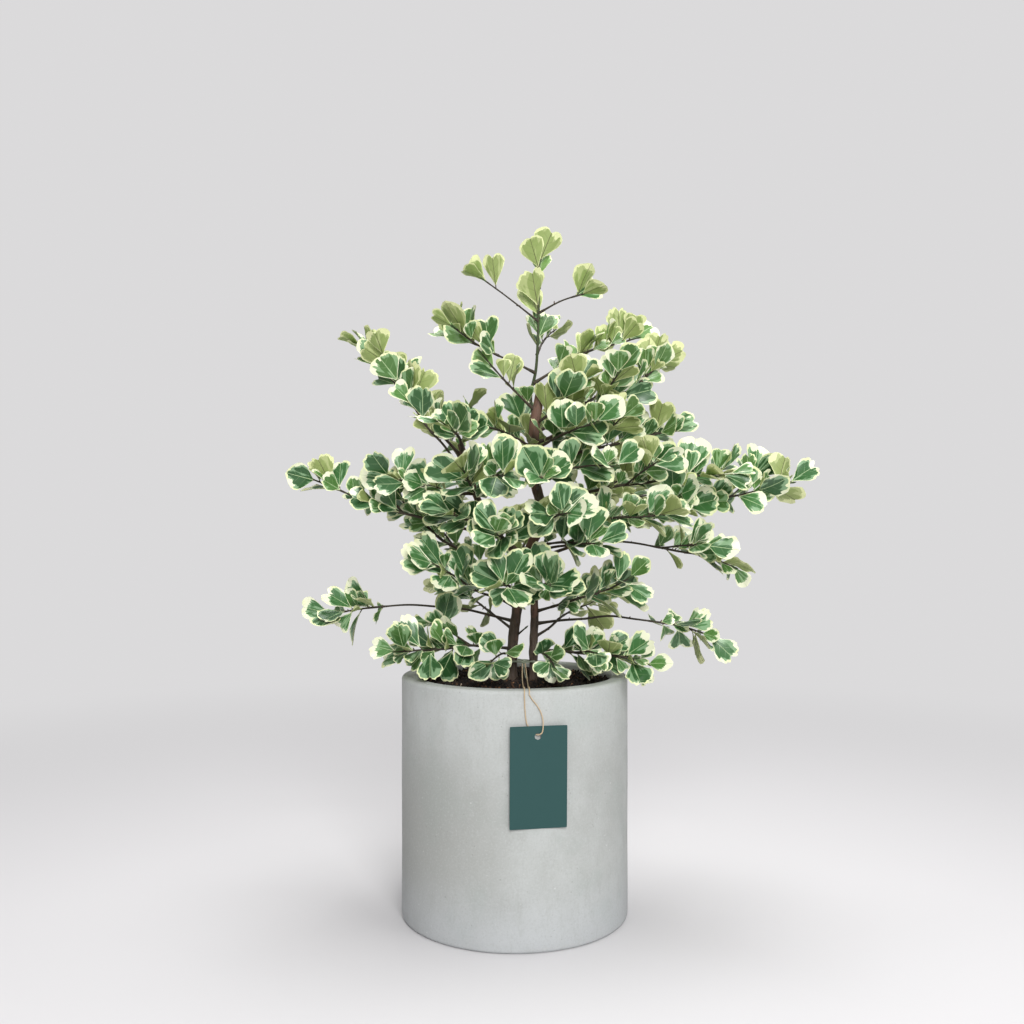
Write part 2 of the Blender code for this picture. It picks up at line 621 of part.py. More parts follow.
def rim_crossing(x):
    """Points over the rim from the soil to the outer wall, clear of it by a touching gap."""
    bend = RIM_ROUND + STRING_RADIUS + TOUCH_GAP + 0.0004
    inside = POT_RADIUS - POT_WALL
    edge = POT_HEIGHT - RIM_ROUND
    rows = [(inside - 0.014, SOIL_TOP + SOIL_MOUND + STRING_RADIUS + 0.0012)]
    rows += arc((inside + RIM_ROUND, edge), bend, 180, 90, 3)
    rows += arc((POT_RADIUS - RIM_ROUND, edge), bend, 90, 0, 3)
    return [Vector((x, -math.sqrt(r ** 2 - x ** 2), z)) for r, z in rows]


def string_route():
    """From the knot over the rim, through the tag's hole from the front, and back to the knot."""
    off = STRING_RADIUS + TOUCH_GAP
    hole = TAG_HEIGHT - TAG_HOLE_DROP
    knot = Vector(KNOT_PLACE)
    low = SOIL_TOP + SOIL_MOUND + off + 0.0006
    start = [knot + Vector((0.0020, -0.0036, -0.0016)), Vector((0.0156, -0.0260, 0.3170))]
    start += [Vector((0.0166, -0.045, low)), Vector((0.0168, -0.080, low))]
    down = [pot_face(0.0212, 0.3040, off), pot_face(0.0266, 0.2970, off + 0.0002)]
    down += [pot_face(0.0312, 0.2885, off + 0.0014), pot_face(0.0334, 0.2790, off + 0.0044)]
    down += [tag_point(0.0042, hole + 0.0062, TAG_THICK + off + 0.0004)]
    through = [tag_point(TAG_HOLE_SIDE + 0.0022, hole + 0.0028, TAG_THICK + 0.0011)]
    through += [tag_point(TAG_HOLE_SIDE, hole + 0.0020, TAG_THICK / 2)]
    through += [tag_point(TAG_HOLE_SIDE - 0.0022, hole + 0.0025, -0.0009)]
    through += [tag_point(TAG_HOLE_SIDE - 0.0064, hole + 0.0058, -off - 0.0002)]
    up = [pot_face(0.0142, 0.2760, off + 0.0002), pot_face(0.0120, 0.2910, off)]
    end = [Vector((0.0108, -0.080, low)), Vector((0.0102, -0.045, low))]
    end += [Vector((0.0098, -0.0270, 0.3170)), knot + Vector((-0.0018, -0.0036, -0.0016))]
    return start + rim_crossing(0.0172) + down + through + up + rim_crossing(0.0113)[::-1] + end


def make_string():
    curve = bpy.data.curves.new("string", "CURVE")
    curve.dimensions = "3D"
    curve.bevel_depth = STRING_RADIUS
    curve.bevel_resolution = 2
    curve.use_fill_caps = True
    route = smooth_route(string_route(), STRING_STEP)
    spline = curve.splines.new("POLY")
    spline.points.add(len(route) - 1)
    for point, place in zip(spline.points, route):
        point.co = (*place, 1.0)
    made = bpy.data.objects.new("string", curve)
    bpy.context.scene.collection.objects.link(made)
    made.data.materials.append(finish("twine", (0.52, 0.40, 0.27), 0.9))
    return made


def make_tie(stems):
    """A slack loop round both stems, with its knot in front and one end hanging from it."""
    circles = []
    for stem in stems:
        middle, radius = stem.at_height(TIE_HEIGHT)
        circles.append((middle, radius + TIE_RADIUS + TIE_SLACK))
    count = 16
    ring = []
    for i in range(count):
        angle = math.tau * i / count
        heading = Vector((math.cos(angle), math.sin(angle), 0.0))
        middle, radius = max(circles, key=lambda c: c[0].dot(heading) + c[1])
        right = math.cos(angle) > 0
        aside = math.cos(angle) ** 2
        height = TIE_HEIGHT - TIE_DROOP[right] * aside
        reach = radius + TIE_SWING[right] * aside
        ring.append(Vector((middle.x, middle.y, height)) + heading * reach)
    closed = ring + ring[:2]
    rows = rings_along(closed, [TIE_RADIUS] * len(closed), TIE_SIDES)[1:-1]
    points = [point for row in rows for point in row]
    faces = []
    for i in range(count):
        for k in range(TIE_SIDES):
            a, b = i * TIE_SIDES + k, i * TIE_SIDES + (k + 1) % TIE_SIDES
            c, d = (a + TIE_SIDES) % len(points), (b + TIE_SIDES) % len(points)
            faces += [(a, b, d), (a, d, c)]
    mesh = bpy.data.meshes.new("string_tie")
    mesh.from_pydata(points, [], faces)
    tie = bpy.data.objects.new("string_tie", mesh)
    bpy.context.scene.collection.objects.link(tie)
    tie.data.materials.append(bpy.data.materials["twine"])
    bm = bmesh.new()
    bmesh.ops.create_icosphere(
        bm, subdivisions=1, radius=KNOT_RADIUS, matrix=Matrix.Translation(KNOT_PLACE)
    )
    knot = object_from(bm, "knot", bpy.data.materials["twine"])
    tail = tube("tail", [Vector(point) for point in TAIL], [TAIL_RADIUS] * len(TAIL), TAIL_SIDES, None)
    for added in (knot, tail):
        as_cutter(added)
        union = tie.modifiers.new(added.name, "BOOLEAN")
        union.operation = "UNION"
        union.object = added
    return tie


def main():
    clear_scene()
    pot = make_pot()
    stems = make_stems()
    soil = make_soil(stems)
    tag = make_tag()
    string = make_string()
    tie = make_tie(stems)
    carriers = {stem.name: stem for stem in stems}
    obstacles = [obstacle_of(made, made.name) for made in (pot, soil, tag, string, tie)]
    obstacles += [obstacle_of(bpy.data.objects[stem.name], stem.name) for stem in stems]
    grown = []
    for spray in SPRAYS:
        route = spray_route(spray, carriers)
        sides = LEADER_SIDES if spray.name == "leader" else TWIG_SIDES
        main_twig = Wood(spray.name, route, spray.radius, TWIG_TIP_RADIUS, sides)
        carriers[spray.name] = main_twig
        twigs = [main_twig]
        for number in range(spray.forks):
            fork = fork_route(main_twig, spray, number)
            twigs.append(Wood(spray.name, fork, FORK_RADIUS, TWIG_TIP_RADIUS, TWIG_SIDES))
        for twig in twigs:
            ring_points = rings_along(twig.route, [r + LEAF_MARGIN for r in twig.radii], twig.sides)
            points = [point for ring in ring_points for point in ring]
            obstacles.append(Obstacle(spray.name, points, tube_faces(len(twig.route), twig.sides)))
        grown.append((spray, twigs))
    leaf_green = finish("leaf", (0.16, 0.30, 0.12), 0.45)
    total = 0
    for spray, twigs in grown:
        leaves = place_leaves(spray, twigs, obstacles)
        total += len(leaves)
        make_spray(spray, twigs, leaves, carriers[spray.carrier], leaf_green)
    print(f"{total} leaves")


main()
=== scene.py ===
# The looks of a potted rubber plant with cream-edged triangular leaves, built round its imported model.
# Metres, +Z up, front towards -Y. Each finished piece sits at the origin with its place in its mesh.
import json
import math
import random
from collections import namedtuple

import bmesh
import bpy
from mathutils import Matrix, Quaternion, Vector, noise
from mathutils.bvhtree import BVHTree
from mathutils.kdtree import KDTree

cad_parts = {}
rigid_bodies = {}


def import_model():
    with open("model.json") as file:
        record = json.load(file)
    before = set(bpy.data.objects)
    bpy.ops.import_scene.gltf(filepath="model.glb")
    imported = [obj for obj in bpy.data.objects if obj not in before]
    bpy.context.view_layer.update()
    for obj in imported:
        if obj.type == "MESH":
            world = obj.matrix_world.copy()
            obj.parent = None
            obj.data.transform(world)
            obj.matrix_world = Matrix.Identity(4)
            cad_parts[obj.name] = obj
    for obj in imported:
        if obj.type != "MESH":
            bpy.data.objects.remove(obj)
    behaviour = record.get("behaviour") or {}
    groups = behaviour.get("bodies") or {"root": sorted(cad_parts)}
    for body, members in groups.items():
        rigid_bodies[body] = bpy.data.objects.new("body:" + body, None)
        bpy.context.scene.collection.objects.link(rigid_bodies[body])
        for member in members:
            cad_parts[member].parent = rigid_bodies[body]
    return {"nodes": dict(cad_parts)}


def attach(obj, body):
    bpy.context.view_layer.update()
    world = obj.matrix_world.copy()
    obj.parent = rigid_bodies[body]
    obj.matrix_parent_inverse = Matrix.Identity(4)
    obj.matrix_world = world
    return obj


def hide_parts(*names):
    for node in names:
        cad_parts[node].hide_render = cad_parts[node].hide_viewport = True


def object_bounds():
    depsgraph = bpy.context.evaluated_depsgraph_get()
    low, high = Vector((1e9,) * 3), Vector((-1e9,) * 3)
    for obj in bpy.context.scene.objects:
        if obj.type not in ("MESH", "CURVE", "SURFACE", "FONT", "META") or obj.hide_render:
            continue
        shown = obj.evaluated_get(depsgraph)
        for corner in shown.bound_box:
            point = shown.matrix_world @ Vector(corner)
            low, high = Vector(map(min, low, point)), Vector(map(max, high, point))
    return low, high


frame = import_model()
cadLow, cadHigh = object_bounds()
cadNodes = frame["nodes"]


# Camera: where the photograph was taken from, worked out from the pot's rim and sides

cameraPlace = {
    "distance": 1.39,  # in front of the pot's middle
    "height": 0.507,
    "side": -0.0036,
    "focalPixels": 1040,
    "imagePixels": 1024,
    "horizonPixel": 530,
}


def makeCamera():
    data = bpy.data.cameras.new("photoCamera")
    data.sensor_width = 36
    data.lens = data.sensor_width * cameraPlace["focalPixels"] / cameraPlace["imagePixels"]
    middle = cameraPlace["imagePixels"] / 2
    data.shift_y = (cameraPlace["horizonPixel"] - middle) / cameraPlace["imagePixels"]
    camera = bpy.data.objects.new("photoCamera", data)
    camera.location = (cameraPlace["side"], -cameraPlace["distance"], cameraPlace["height"])
    camera.rotation_euler = (math.radians(90), 0, 0)
    bpy.context.scene.collection.objects.link(camera)
    bpy.context.scene.camera = camera


# Helpers for node trees. A Field is a node's output, and sums with it add math nodes to its tree

def fill(tree, made, inputs):
    for key, value in inputs.items():
        if isinstance(value, Field):
            tree.links.new(value.socket, made.inputs[key])
        elif value is not None:
            made.inputs[key].default_value = value
    return made


def addNode(tree, kind, inputs=None, **settings):
    made = tree.nodes.new(kind)
    for name, value in settings.items():
        setattr(made, name, value)
    return fill(tree, made, inputs or {})


def out(made, key=0):
    return Field(made.outputs[key])


class Field:
    def __init__(self, socket):
        self.socket = socket
        self.tree = socket.id_data

    def calc(self, operation, *others, clamp=False):
        inputs = dict(enumerate((self, *others)))
        return out(addNode(self.tree, "ShaderNodeMath", inputs, operation=operation, use_clamp=clamp))

    def __add__(self, other):
        return self.calc("ADD", other)

    def __sub__(self, other):
        return self.calc("SUBTRACT", other)

    def __mul__(self, other):
        return self.calc("MULTIPLY", other)

    def __truediv__(self, other):
        return self.calc("DIVIDE", other)

    def __abs__(self):
        return self.calc("ABSOLUTE")

    def vector(self, operation, *others, scale=None):
        inputs = dict(enumerate((self, *others)))
        made = addNode(self.tree, "ShaderNodeVectorMath", inputs, operation=operation)
        return out(fill(self.tree, made, {"Scale": scale}), "Value" if operation == "LENGTH" else "Vector")

    def parts(self):
        made = addNode(self.tree, "ShaderNodeSeparateXYZ", {0: self})
        return [out(made, index) for index in range(3)]

    def step(self, low, high, start=0.0, end=1.0):
        # A soft step from start to end as the value goes from low to high
        inputs = {"Value": self, "From Min": low, "From Max": high, "To Min": start, "To Max": end}
        made = addNode(self.tree, "ShaderNodeMapRange", inputs, interpolation_type="SMOOTHSTEP")
        return out(made, "Result")


def blend(share, first, second):
    tree = next(value.tree for value in (share, first, second) if isinstance(value, Field))
    first, second = (value if isinstance(value, Field) else (*value, 1) for value in (first, second))
    return out(addNode(tree, "ShaderNodeMix", {0: share, 6: first, 7: second}, data_type="RGBA"), 2)


def noiseAt(place, scale, detail=3.0, roughness=0.5, distortion=0.0):
    return out(addNode(place.tree, "ShaderNodeTexNoise", {
        "Vector": place, "Scale": scale, "Detail": detail, "Roughness": roughness, "Distortion": distortion}))


def attribute(tree, name, kind="FLOAT_VECTOR"):
    return out(addNode(tree, "GeometryNodeInputNamedAttribute", {"Name": name}, data_type=kind), "Attribute")


def painted(tree, name):
    return addNode(tree, "ShaderNodeAttribute", attribute_name=name)


class Surface:
    # A material while its colour is worked out
    def __init__(self, name, roughness, **sockets):
        self.material = bpy.data.materials.new(name)
        self.material.use_nodes = True
        self.tree = self.material.node_tree
        self.shader = self.tree.nodes["Principled BSDF"]
        fill(self.tree, self.shader, {"Roughness": roughness, **sockets})

    def place(self):
        return out(addNode(self.tree, "ShaderNodeTexCoord"), "Object")

    def paint(self, colour, roughness=None, height=None, distance=0.0, strength=1.0):
        bump = addNode(self.tree, "ShaderNodeBump", {
            "Height": height, "Distance": distance, "Strength": strength})
        fill(self.tree, self.shader, {
            "Base Color": colour, "Roughness": roughness, "Normal": out(bump, "Normal")})
        return self.material


def newGroup(name, numbers, outputs):
    group = bpy.data.node_groups.new(name, "ShaderNodeTree")
    group.interface.new_socket("Place", in_out="INPUT", socket_type="NodeSocketVector")
    for title, value in numbers.items():
        group.interface.new_socket(title, in_out="INPUT", socket_type="NodeSocketFloat").default_value = value
    for title in outputs:
        group.interface.new_socket(title, in_out="OUTPUT", socket_type="NodeSocketFloat")
    start = group.nodes.new("NodeGroupInput")
    return group, [out(start, key) for key in ("Place", *numbers)], group.nodes.new("NodeGroupOutput")


def makeMottle():
    # Soft cloudy patches at two sizes, for concrete, bark, soil and card
    numbers = {"Scale": 10.0, "Fine Share": 0.3, "Contrast": 1.0}
    group, (place, scale, fineShare, contrast), end = newGroup("mottle", numbers, ["Mask"])
    broad = noiseAt(place, scale, detail=4.0, distortion=0.4)
    fine = noiseAt(place, scale * 5.3)
    both = out(addNode(group, "ShaderNodeMix", {"Factor": fineShare, "A": broad, "B": fine}), "Result")
    fill(group, end, {"Mask": ((both - 0.5) * contrast).calc("ADD", 0.5, clamp=True)})
    return group


def makeGrain():
    # A fine uneven height with a few pits, for what feels like sand, paper or fibre
    numbers = {"Scale": 400.0, "Pit Scale": 90.0, "Pit Size": 0.12}
    group, (place, scale, pitScale, pitSize), end = newGroup("grain", numbers, ["Height", "Pits"])
    fine = noiseAt(place, scale, detail=2.0, roughness=0.6)
    cells = addNode(group, "ShaderNodeTexVoronoi", {"Vector": place, "Scale": pitScale})
    rare = noiseAt(place, pitScale * 0.3).step(0.52, 0.60)
    pits = rare * out(cells, "Distance").step(pitSize * 0.4, pitSize, 1.0, 0.0)
    fill(group, end, {"Pits": pits, "Height": fine * 0.35 - pits})
    return group


mottle = makeMottle()
grain = makeGrain()


def useGroup(group, place, *numbers):
    made = place.tree.nodes.new("ShaderNodeGroup")
    made.node_tree = group
    return fill(place.tree, made, dict(enumerate((place, *numbers))))


def cloud(place, scale, fineShare, contrast):
    return out(useGroup(mottle, place, scale, fineShare, contrast))


def grains(place, scale, pitScale, pitSize):
    made = useGroup(grain, place, scale, pitScale, pitSize)
    return out(made, "Height"), out(made, "Pits")


# Finished pieces

def meshPiece(name, mesh, material=None):
    piece = bpy.data.objects.new(name, mesh)
    bpy.context.scene.collection.objects.link(piece)
    if material:
        mesh.materials.clear()
        mesh.materials.append(material)
    return piece


def finishPiece(piece, slot, *replaced):
    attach(piece, "root")
    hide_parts(*replaced)


def polygonMesh(name, points, faces, smooth=True):
    mesh = bpy.data.meshes.new(name)
    mesh.from_pydata(points, [], faces)
    if smooth:
        mesh.shade_smooth()
    return mesh


def newNodesTree(name, inputs):
    tree = bpy.data.node_groups.new(name, "GeometryNodeTree")
    tree.is_modifier = True
    for side in ("INPUT", "OUTPUT"):
        tree.interface.new_socket("Geometry", in_out=side, socket_type="NodeSocketGeometry")
    for title, (kind, value) in inputs.items():
        socket = tree.interface.new_socket(title, in_out="INPUT", socket_type="NodeSocket" + kind)
        if value is not None:
            socket.default_value = value
    start = tree.nodes.new("NodeGroupInput")
    return tree, [out(start, key) for key in ("Geometry", *inputs)]


def closeTree(tree, shape, material):
    whole = addNode(tree, "GeometryNodeRealizeInstances", {"Geometry": shape})
    done = addNode(tree, "GeometryNodeSetMaterial", {"Geometry": out(whole), "Material": material})
    addNode(tree, "NodeGroupOutput", {"Geometry": out(done)})
    return tree


def pickedFrom(tree, home, points, **inputs):
    # Instances of a collection's objects on points
    shapes = addNode(tree, "GeometryNodeCollectionInfo", {
        "Collection": home, "Separate Children": True, "Reset Children": True})
    return out(addNode(tree, "GeometryNodeInstanceOnPoints", {
        "Points": points, "Instance": out(shapes), "Pick Instance": True, **inputs}))


def grow(name, mesh, tree, values):
    # Runs a geometry nodes tree on a mesh and keeps the result as a plain mesh piece
    source = meshPiece(name + "_source", mesh)
    modifier = source.modifiers.new("grow", "NODES")
    modifier.node_group = tree
    for item in tree.interface.items_tree:
        if item.in_out == "INPUT" and item.name in values:
            modifier[item.identifier] = values[item.name]
    bpy.context.view_layer.update()
    graph = bpy.context.evaluated_depsgraph_get()
    made = bpy.data.meshes.new_from_object(source.evaluated_get(graph), depsgraph=graph)
    bpy.data.objects.remove(source, do_unlink=True)
    made.name = name
    return meshPiece(name, made)


def setValues(mesh, name, kind, values, domain="POINT"):
    layer = mesh.attributes.new(name, kind, domain)
    if kind == "FLOAT_VECTOR":
        layer.data.foreach_set("vector", [x for value in values for x in value])
    else:
        layer.data.foreach_set("value", values)


# The woody frame: the same lines, draws and places as the solids have

pot = {
    "radius": 0.150, "height": 0.315, "wall": 0.022, "rimRound": 0.0045, "footRound": 0.005,
    "sides": 180, "soilTop": 0.3065, "touchGap": 0.0003,
}

stemRow = namedtuple("stemRow", "points footRadius topRadius")
stems = {
    "stem_main": stemRow(
        (
            (-0.003, 0.005, 0.240), (-0.003, 0.005, 0.345), (0.003, 0.006, 0.400),
            (0.009, 0.008, 0.450), (0.024, 0.009, 0.490), (0.037, 0.006, 0.527),
            (0.026, 0.001, 0.580), (0.026, 0.000, 0.640), (0.034, 0.000, 0.690),
        ),
        0.0064, 0.0064,
    ),
    "stem_second": stemRow(
        (
            (0.026, -0.003, 0.240), (0.025, -0.004, 0.345), (0.0265, -0.004, 0.400),
            (0.022, -0.006, 0.445), (0.008, -0.009, 0.472), (-0.022, -0.008, 0.500),
            (-0.045, -0.008, 0.538), (-0.060, -0.010, 0.580), (-0.072, -0.012, 0.622),
        ),
        0.0058, 0.0040,
    ),
}
# What each spray grows from and at what height, its tip, how far its middle arches over the straight
# line, its radius at the root, its leaves, their length, the bare share and its side twigs
sprayRow = namedtuple("sprayRow", "name carrier height tip arch radius leaves size bare forks")
sprays = [sprayRow("leader", "stem_main", 0.652, (0.034, 0.000, 0.898), 0.0, 0.0030, 14, 0.049, 0.42, 0)]
sprays += [sprayRow("spray_" + name, *row) for name, *row in (
    ("top_left", "leader", 0.786, (-0.040, -0.020, 0.836), 0.000, 0.0015, 4, 0.051, 0.74, 0),
    ("top_right", "leader", 0.797, (0.098, -0.020, 0.820), 0.004, 0.0015, 5, 0.047, 0.66, 0),
    ("high_left", "leader", 0.718, (-0.080, -0.030, 0.772), -0.004, 0.0018, 8, 0.049, 0.42, 1),
    ("high_right", "leader", 0.704, (0.166, 0.026, 0.768), 0.010, 0.0020, 9, 0.049, 0.40, 0),
    ("high_back", "leader", 0.742, (0.058, 0.090, 0.792), 0.004, 0.0017, 7, 0.047, 0.30, 0),
    ("shoulder_left", "stem_main", 0.664, (-0.044, -0.034, 0.738), -0.006, 0.0020, 8, 0.047, 0.35, 0),
    ("shoulder_right", "stem_main", 0.648, (0.088, -0.052, 0.700), -0.004, 0.0020, 8, 0.049, 0.35, 0),
    ("upper_right", "stem_main", 0.622, (0.194, -0.030, 0.728), -0.010, 0.0027, 9, 0.049, 0.45, 2),
    ("upper_left_long", "stem_second", 0.600, (-0.207, 0.020, 0.756), 0.000, 0.0023, 9, 0.047, 0.50, 1),
    ("upper_left", "stem_second", 0.576, (-0.170, -0.044, 0.732), -0.010, 0.0021, 9, 0.047, 0.45, 1),
    ("rosette_left", "stem_second", 0.610, (-0.078, -0.088, 0.632), 0.004, 0.0025, 9, 0.052, 0.35, 0),
    ("mid_left", "stem_second", 0.556, (-0.162, -0.050, 0.576), -0.006, 0.0023, 9, 0.051, 0.40, 1),
    ("left_long", "stem_second", 0.503, (-0.264, -0.020, 0.573), -0.010, 0.0025, 11, 0.047, 0.50, 1),
    ("left_rising", "stem_main", 0.446, (-0.180, 0.004, 0.580), -0.026, 0.0023, 9, 0.049, 0.40, 1),
    ("left_low_mid", "stem_main", 0.402, (-0.104, -0.060, 0.464), -0.004, 0.0020, 9, 0.051, 0.45, 0),
    ("left_low_arch", "stem_main", 0.384, (-0.250, 0.026, 0.392), 0.016, 0.0021, 7, 0.050, 0.72, 0),
    ("left_low_fan", "stem_main", 0.348, (-0.150, -0.066, 0.352), 0.004, 0.0020, 10, 0.049, 0.35, 1),
    ("front_low_left", "stem_main", 0.341, (-0.034, -0.110, 0.340), 0.006, 0.0017, 7, 0.043, 0.30, 0),
    ("front_low_right", "stem_second", 0.343, (0.050, -0.112, 0.336), 0.008, 0.0017, 7, 0.043, 0.30, 0),
    ("right_low_fan", "stem_second", 0.346, (0.170, -0.066, 0.336), 0.006, 0.0020, 10, 0.049, 0.35, 1),
    ("right_low_arch", "stem_second", 0.382, (0.264, 0.026, 0.364), 0.016, 0.0021, 8, 0.051, 0.72, 0),
    ("right_low_mid", "stem_second", 0.398, (0.148, -0.058, 0.446), -0.004, 0.0020, 9, 0.051, 0.40, 0),
    ("right_drop", "stem_main", 0.474, (0.300, 0.030, 0.456), 0.024, 0.0021, 6, 0.049, 0.66, 1),
    ("right_long", "stem_main", 0.458, (0.370, 0.000, 0.570), 0.012, 0.0027, 13, 0.047, 0.50, 2),
    ("right_level", "stem_main", 0.545, (0.280, -0.040, 0.580), 0.006, 0.0025, 11, 0.049, 0.45, 1),
    ("right_mid", "stem_main", 0.590, (0.226, -0.010, 0.640), 0.004, 0.0025, 10, 0.051, 0.38, 1),
    ("front_right_mid", "stem_main", 0.500, (0.196, -0.070, 0.528), 0.004, 0.0021, 9, 0.051, 0.40, 0),
    ("front_right_low", "stem_main", 0.484, (0.104, -0.086, 0.490), 0.004, 0.0021, 9, 0.052, 0.35, 0),
    ("fan_left", "stem_main", 0.424, (-0.016, -0.098, 0.438), 0.004, 0.0020, 8, 0.052, 0.45, 0),
    ("fan_right", "stem_second", 0.422, (0.046, -0.098, 0.436), 0.004, 0.0020, 8, 0.052, 0.45, 0),
    ("centre_low", "stem_main", 0.512, (0.066, -0.118, 0.528), 0.004, 0.0020, 9, 0.052, 0.35, 0),
    ("centre_left", "stem_second", 0.485, (-0.024, -0.112, 0.502), 0.004, 0.0020, 9, 0.052, 0.35, 0),
    ("centre", "stem_main", 0.560, (0.034, -0.110, 0.570), 0.004, 0.0020, 9, 0.052, 0.30, 0),
    ("centre_right", "stem_main", 0.575, (0.126, -0.096, 0.586), 0.006, 0.0021, 9, 0.052, 0.35, 0),
    ("centre_high", "stem_main", 0.612, (0.104, -0.080, 0.642), 0.004, 0.0021, 9, 0.051, 0.35, 0),
    ("mid_front_left", "stem_second", 0.540, (-0.064, -0.100, 0.582), 0.002, 0.0020, 9, 0.052, 0.35, 0),
    ("low_front_left", "stem_second", 0.508, (-0.082, -0.070, 0.528), 0.002, 0.0020, 8, 0.051, 0.35, 0),
    ("inner_left", "stem_second", 0.578, (-0.010, -0.104, 0.572), 0.004, 0.0020, 8, 0.052, 0.40, 0),
    ("inner_high", "stem_main", 0.616, (-0.046, -0.066, 0.642), 0.002, 0.0020, 7, 0.047, 0.40, 0),
    ("back_low_left", "stem_main", 0.372, (-0.112, 0.168, 0.430), 0.006, 0.0021, 8, 0.051, 0.45, 0),
    ("back_low_right", "stem_second", 0.364, (0.146, 0.166, 0.412), 0.006, 0.0021, 8, 0.051, 0.45, 0),
    ("back_left", "stem_second", 0.524, (-0.146, 0.176, 0.566), 0.006, 0.0023, 8, 0.051, 0.40, 1),
    ("back", "stem_main", 0.432, (0.020, 0.214, 0.520), 0.006, 0.0023, 9, 0.051, 0.40, 1),
    ("back_right", "stem_main", 0.532, (0.206, 0.166, 0.560), 0.006, 0.0023, 8, 0.051, 0.40, 1),
    ("back_high_left", "stem_second", 0.584, (-0.128, 0.130, 0.676), 0.004, 0.0021, 9, 0.049, 0.40, 1),
    ("back_high", "stem_main", 0.602, (0.012, 0.166, 0.672), 0.004, 0.0021, 9, 0.049, 0.40, 1),
    ("back_high_right", "stem_main", 0.634, (0.136, 0.124, 0.704), 0.004, 0.0021, 9, 0.049, 0.40, 1),
    ("stub_left", "stem_main", 0.362, (0.0135, -0.002, 0.3755), 0.0, 0.0016, 1, 0.020, 0.90, 0),
)]
bends = {"leader": ((0.0215, 0.0120, 0.686), (0.0285, 0.0070, 0.722), (0.0310, 0.0020, 0.762))}
twig = {
    "stemStep": 0.024, "step": 0.034, "tipRadius": 0.0010, "wander": 0.0022,
    "forkLength": 0.062, "forkLeaves": 3, "forkRadius": 0.0014, "forkBare": 0.45,
    # Where a side twig leaves: a share of the bare stretch, a step for each one and a start
    "forkPlace": (0.85, 0.28, 0.08), "forkAhead": 0.75, "forkAside": (0.7, 1.0), "forkRise": (-0.1, 0.5),
    "forkVaries": (0.8, 1.15), "forkBend": 0.006,
}


def smoothLine(points, spacing):
    # Points about a spacing apart along a smooth curve through the given points
    points = [Vector(point) for point in points]
    ends = [2 * points[0] - points[1], *points, 2 * points[-1] - points[-2]]
    line = [points[0]]
    for before, a, b, after in zip(ends, ends[1:], ends[2:], ends[3:]):
        parts = max(1, round((b - a).length / spacing))
        for i in range(1, parts + 1):
            t = i / parts
            line.append(0.5 * (
                2 * a + (b - before) * t
                + (2 * before - 5 * a + 4 * b - after) * t ** 2
                + (3 * a - before - 3 * b + after) * t ** 3
            ))
    return line


def lengthsAlong(line):
    lengths = [0.0]
    for a, b in zip(line, line[1:]):
        lengths.append(lengths[-1] + (b - a).length)
    return lengths


class Wood:
    def __init__(self, line, start, end):
        self.line = line
        lengths = lengthsAlong(line)
        self.length = lengths[-1]
        self.shares = [length / lengths[-1] for length in lengths]
        self.radii = [start + (end - start) * share for share in self.shares]
        self.leafShares = []

    def at(self, share):
        # Place and direction at a share of the length
        for i in range(len(self.line) - 1):
            if share <= self.shares[i + 1] or i == len(self.line) - 2:
                t = (share - self.shares[i]) / (self.shares[i + 1] - self.shares[i])
                a, b = self.line[i], self.line[i + 1]
                return a.lerp(b, t), (b - a).normalized()

    def atHeight(self, z):
        for a, b in zip(self.line, self.line[1:]):
            if a.z <= z <= b.z:
                return a.lerp(b, (z - a.z) / (b.z - a.z))


def sprayLine(spray, carriers):
    draw = random.Random(spray.name)
    root = carriers[spray.carrier].atHeight(spray.height)
    if spray.name in bends:
        return smoothLine((root, *bends[spray.name], spray.tip), twig["step"])
    tip = Vector(spray.tip)
    parts = max(1, round((tip - root).length / twig["step"]))
    line = []
    for i in range(parts + 1):
        t = i / parts
        point = root.lerp(tip, t)
        point.z += 4 * spray.arch * t * (1 - t)
        wander = Vector([draw.uniform(-twig["wander"], twig["wander"]) for _ in range(3)])
        line.append(point + wander * (1 if 0 < i < parts else 0))
    return line


def forkLine(mainTwig, spray, number):
    draw = random.Random(f"{spray.name} fork {number}")
    share, step, start = twig["forkPlace"]
    place, ahead = mainTwig.at(spray.bare * share + step * number + start)
    side = Vector((-ahead.y, ahead.x, 0)).normalized() * (1 if number % 2 else -1)
    heading = ahead * twig["forkAhead"] + side * draw.uniform(*twig["forkAside"])
    heading += Vector((0, 0, draw.uniform(*twig["forkRise"])))
    length = twig["forkLength"] * draw.uniform(*twig["forkVaries"])
    bend = Vector((0, 0, twig["forkBend"]))
    heading.normalize()
    return [place, place + heading * length * 0.5 + bend, place + heading * length + bend * 1.4]


# Leaves: each one's place and form, drawn by the same rule as the solids' leaves

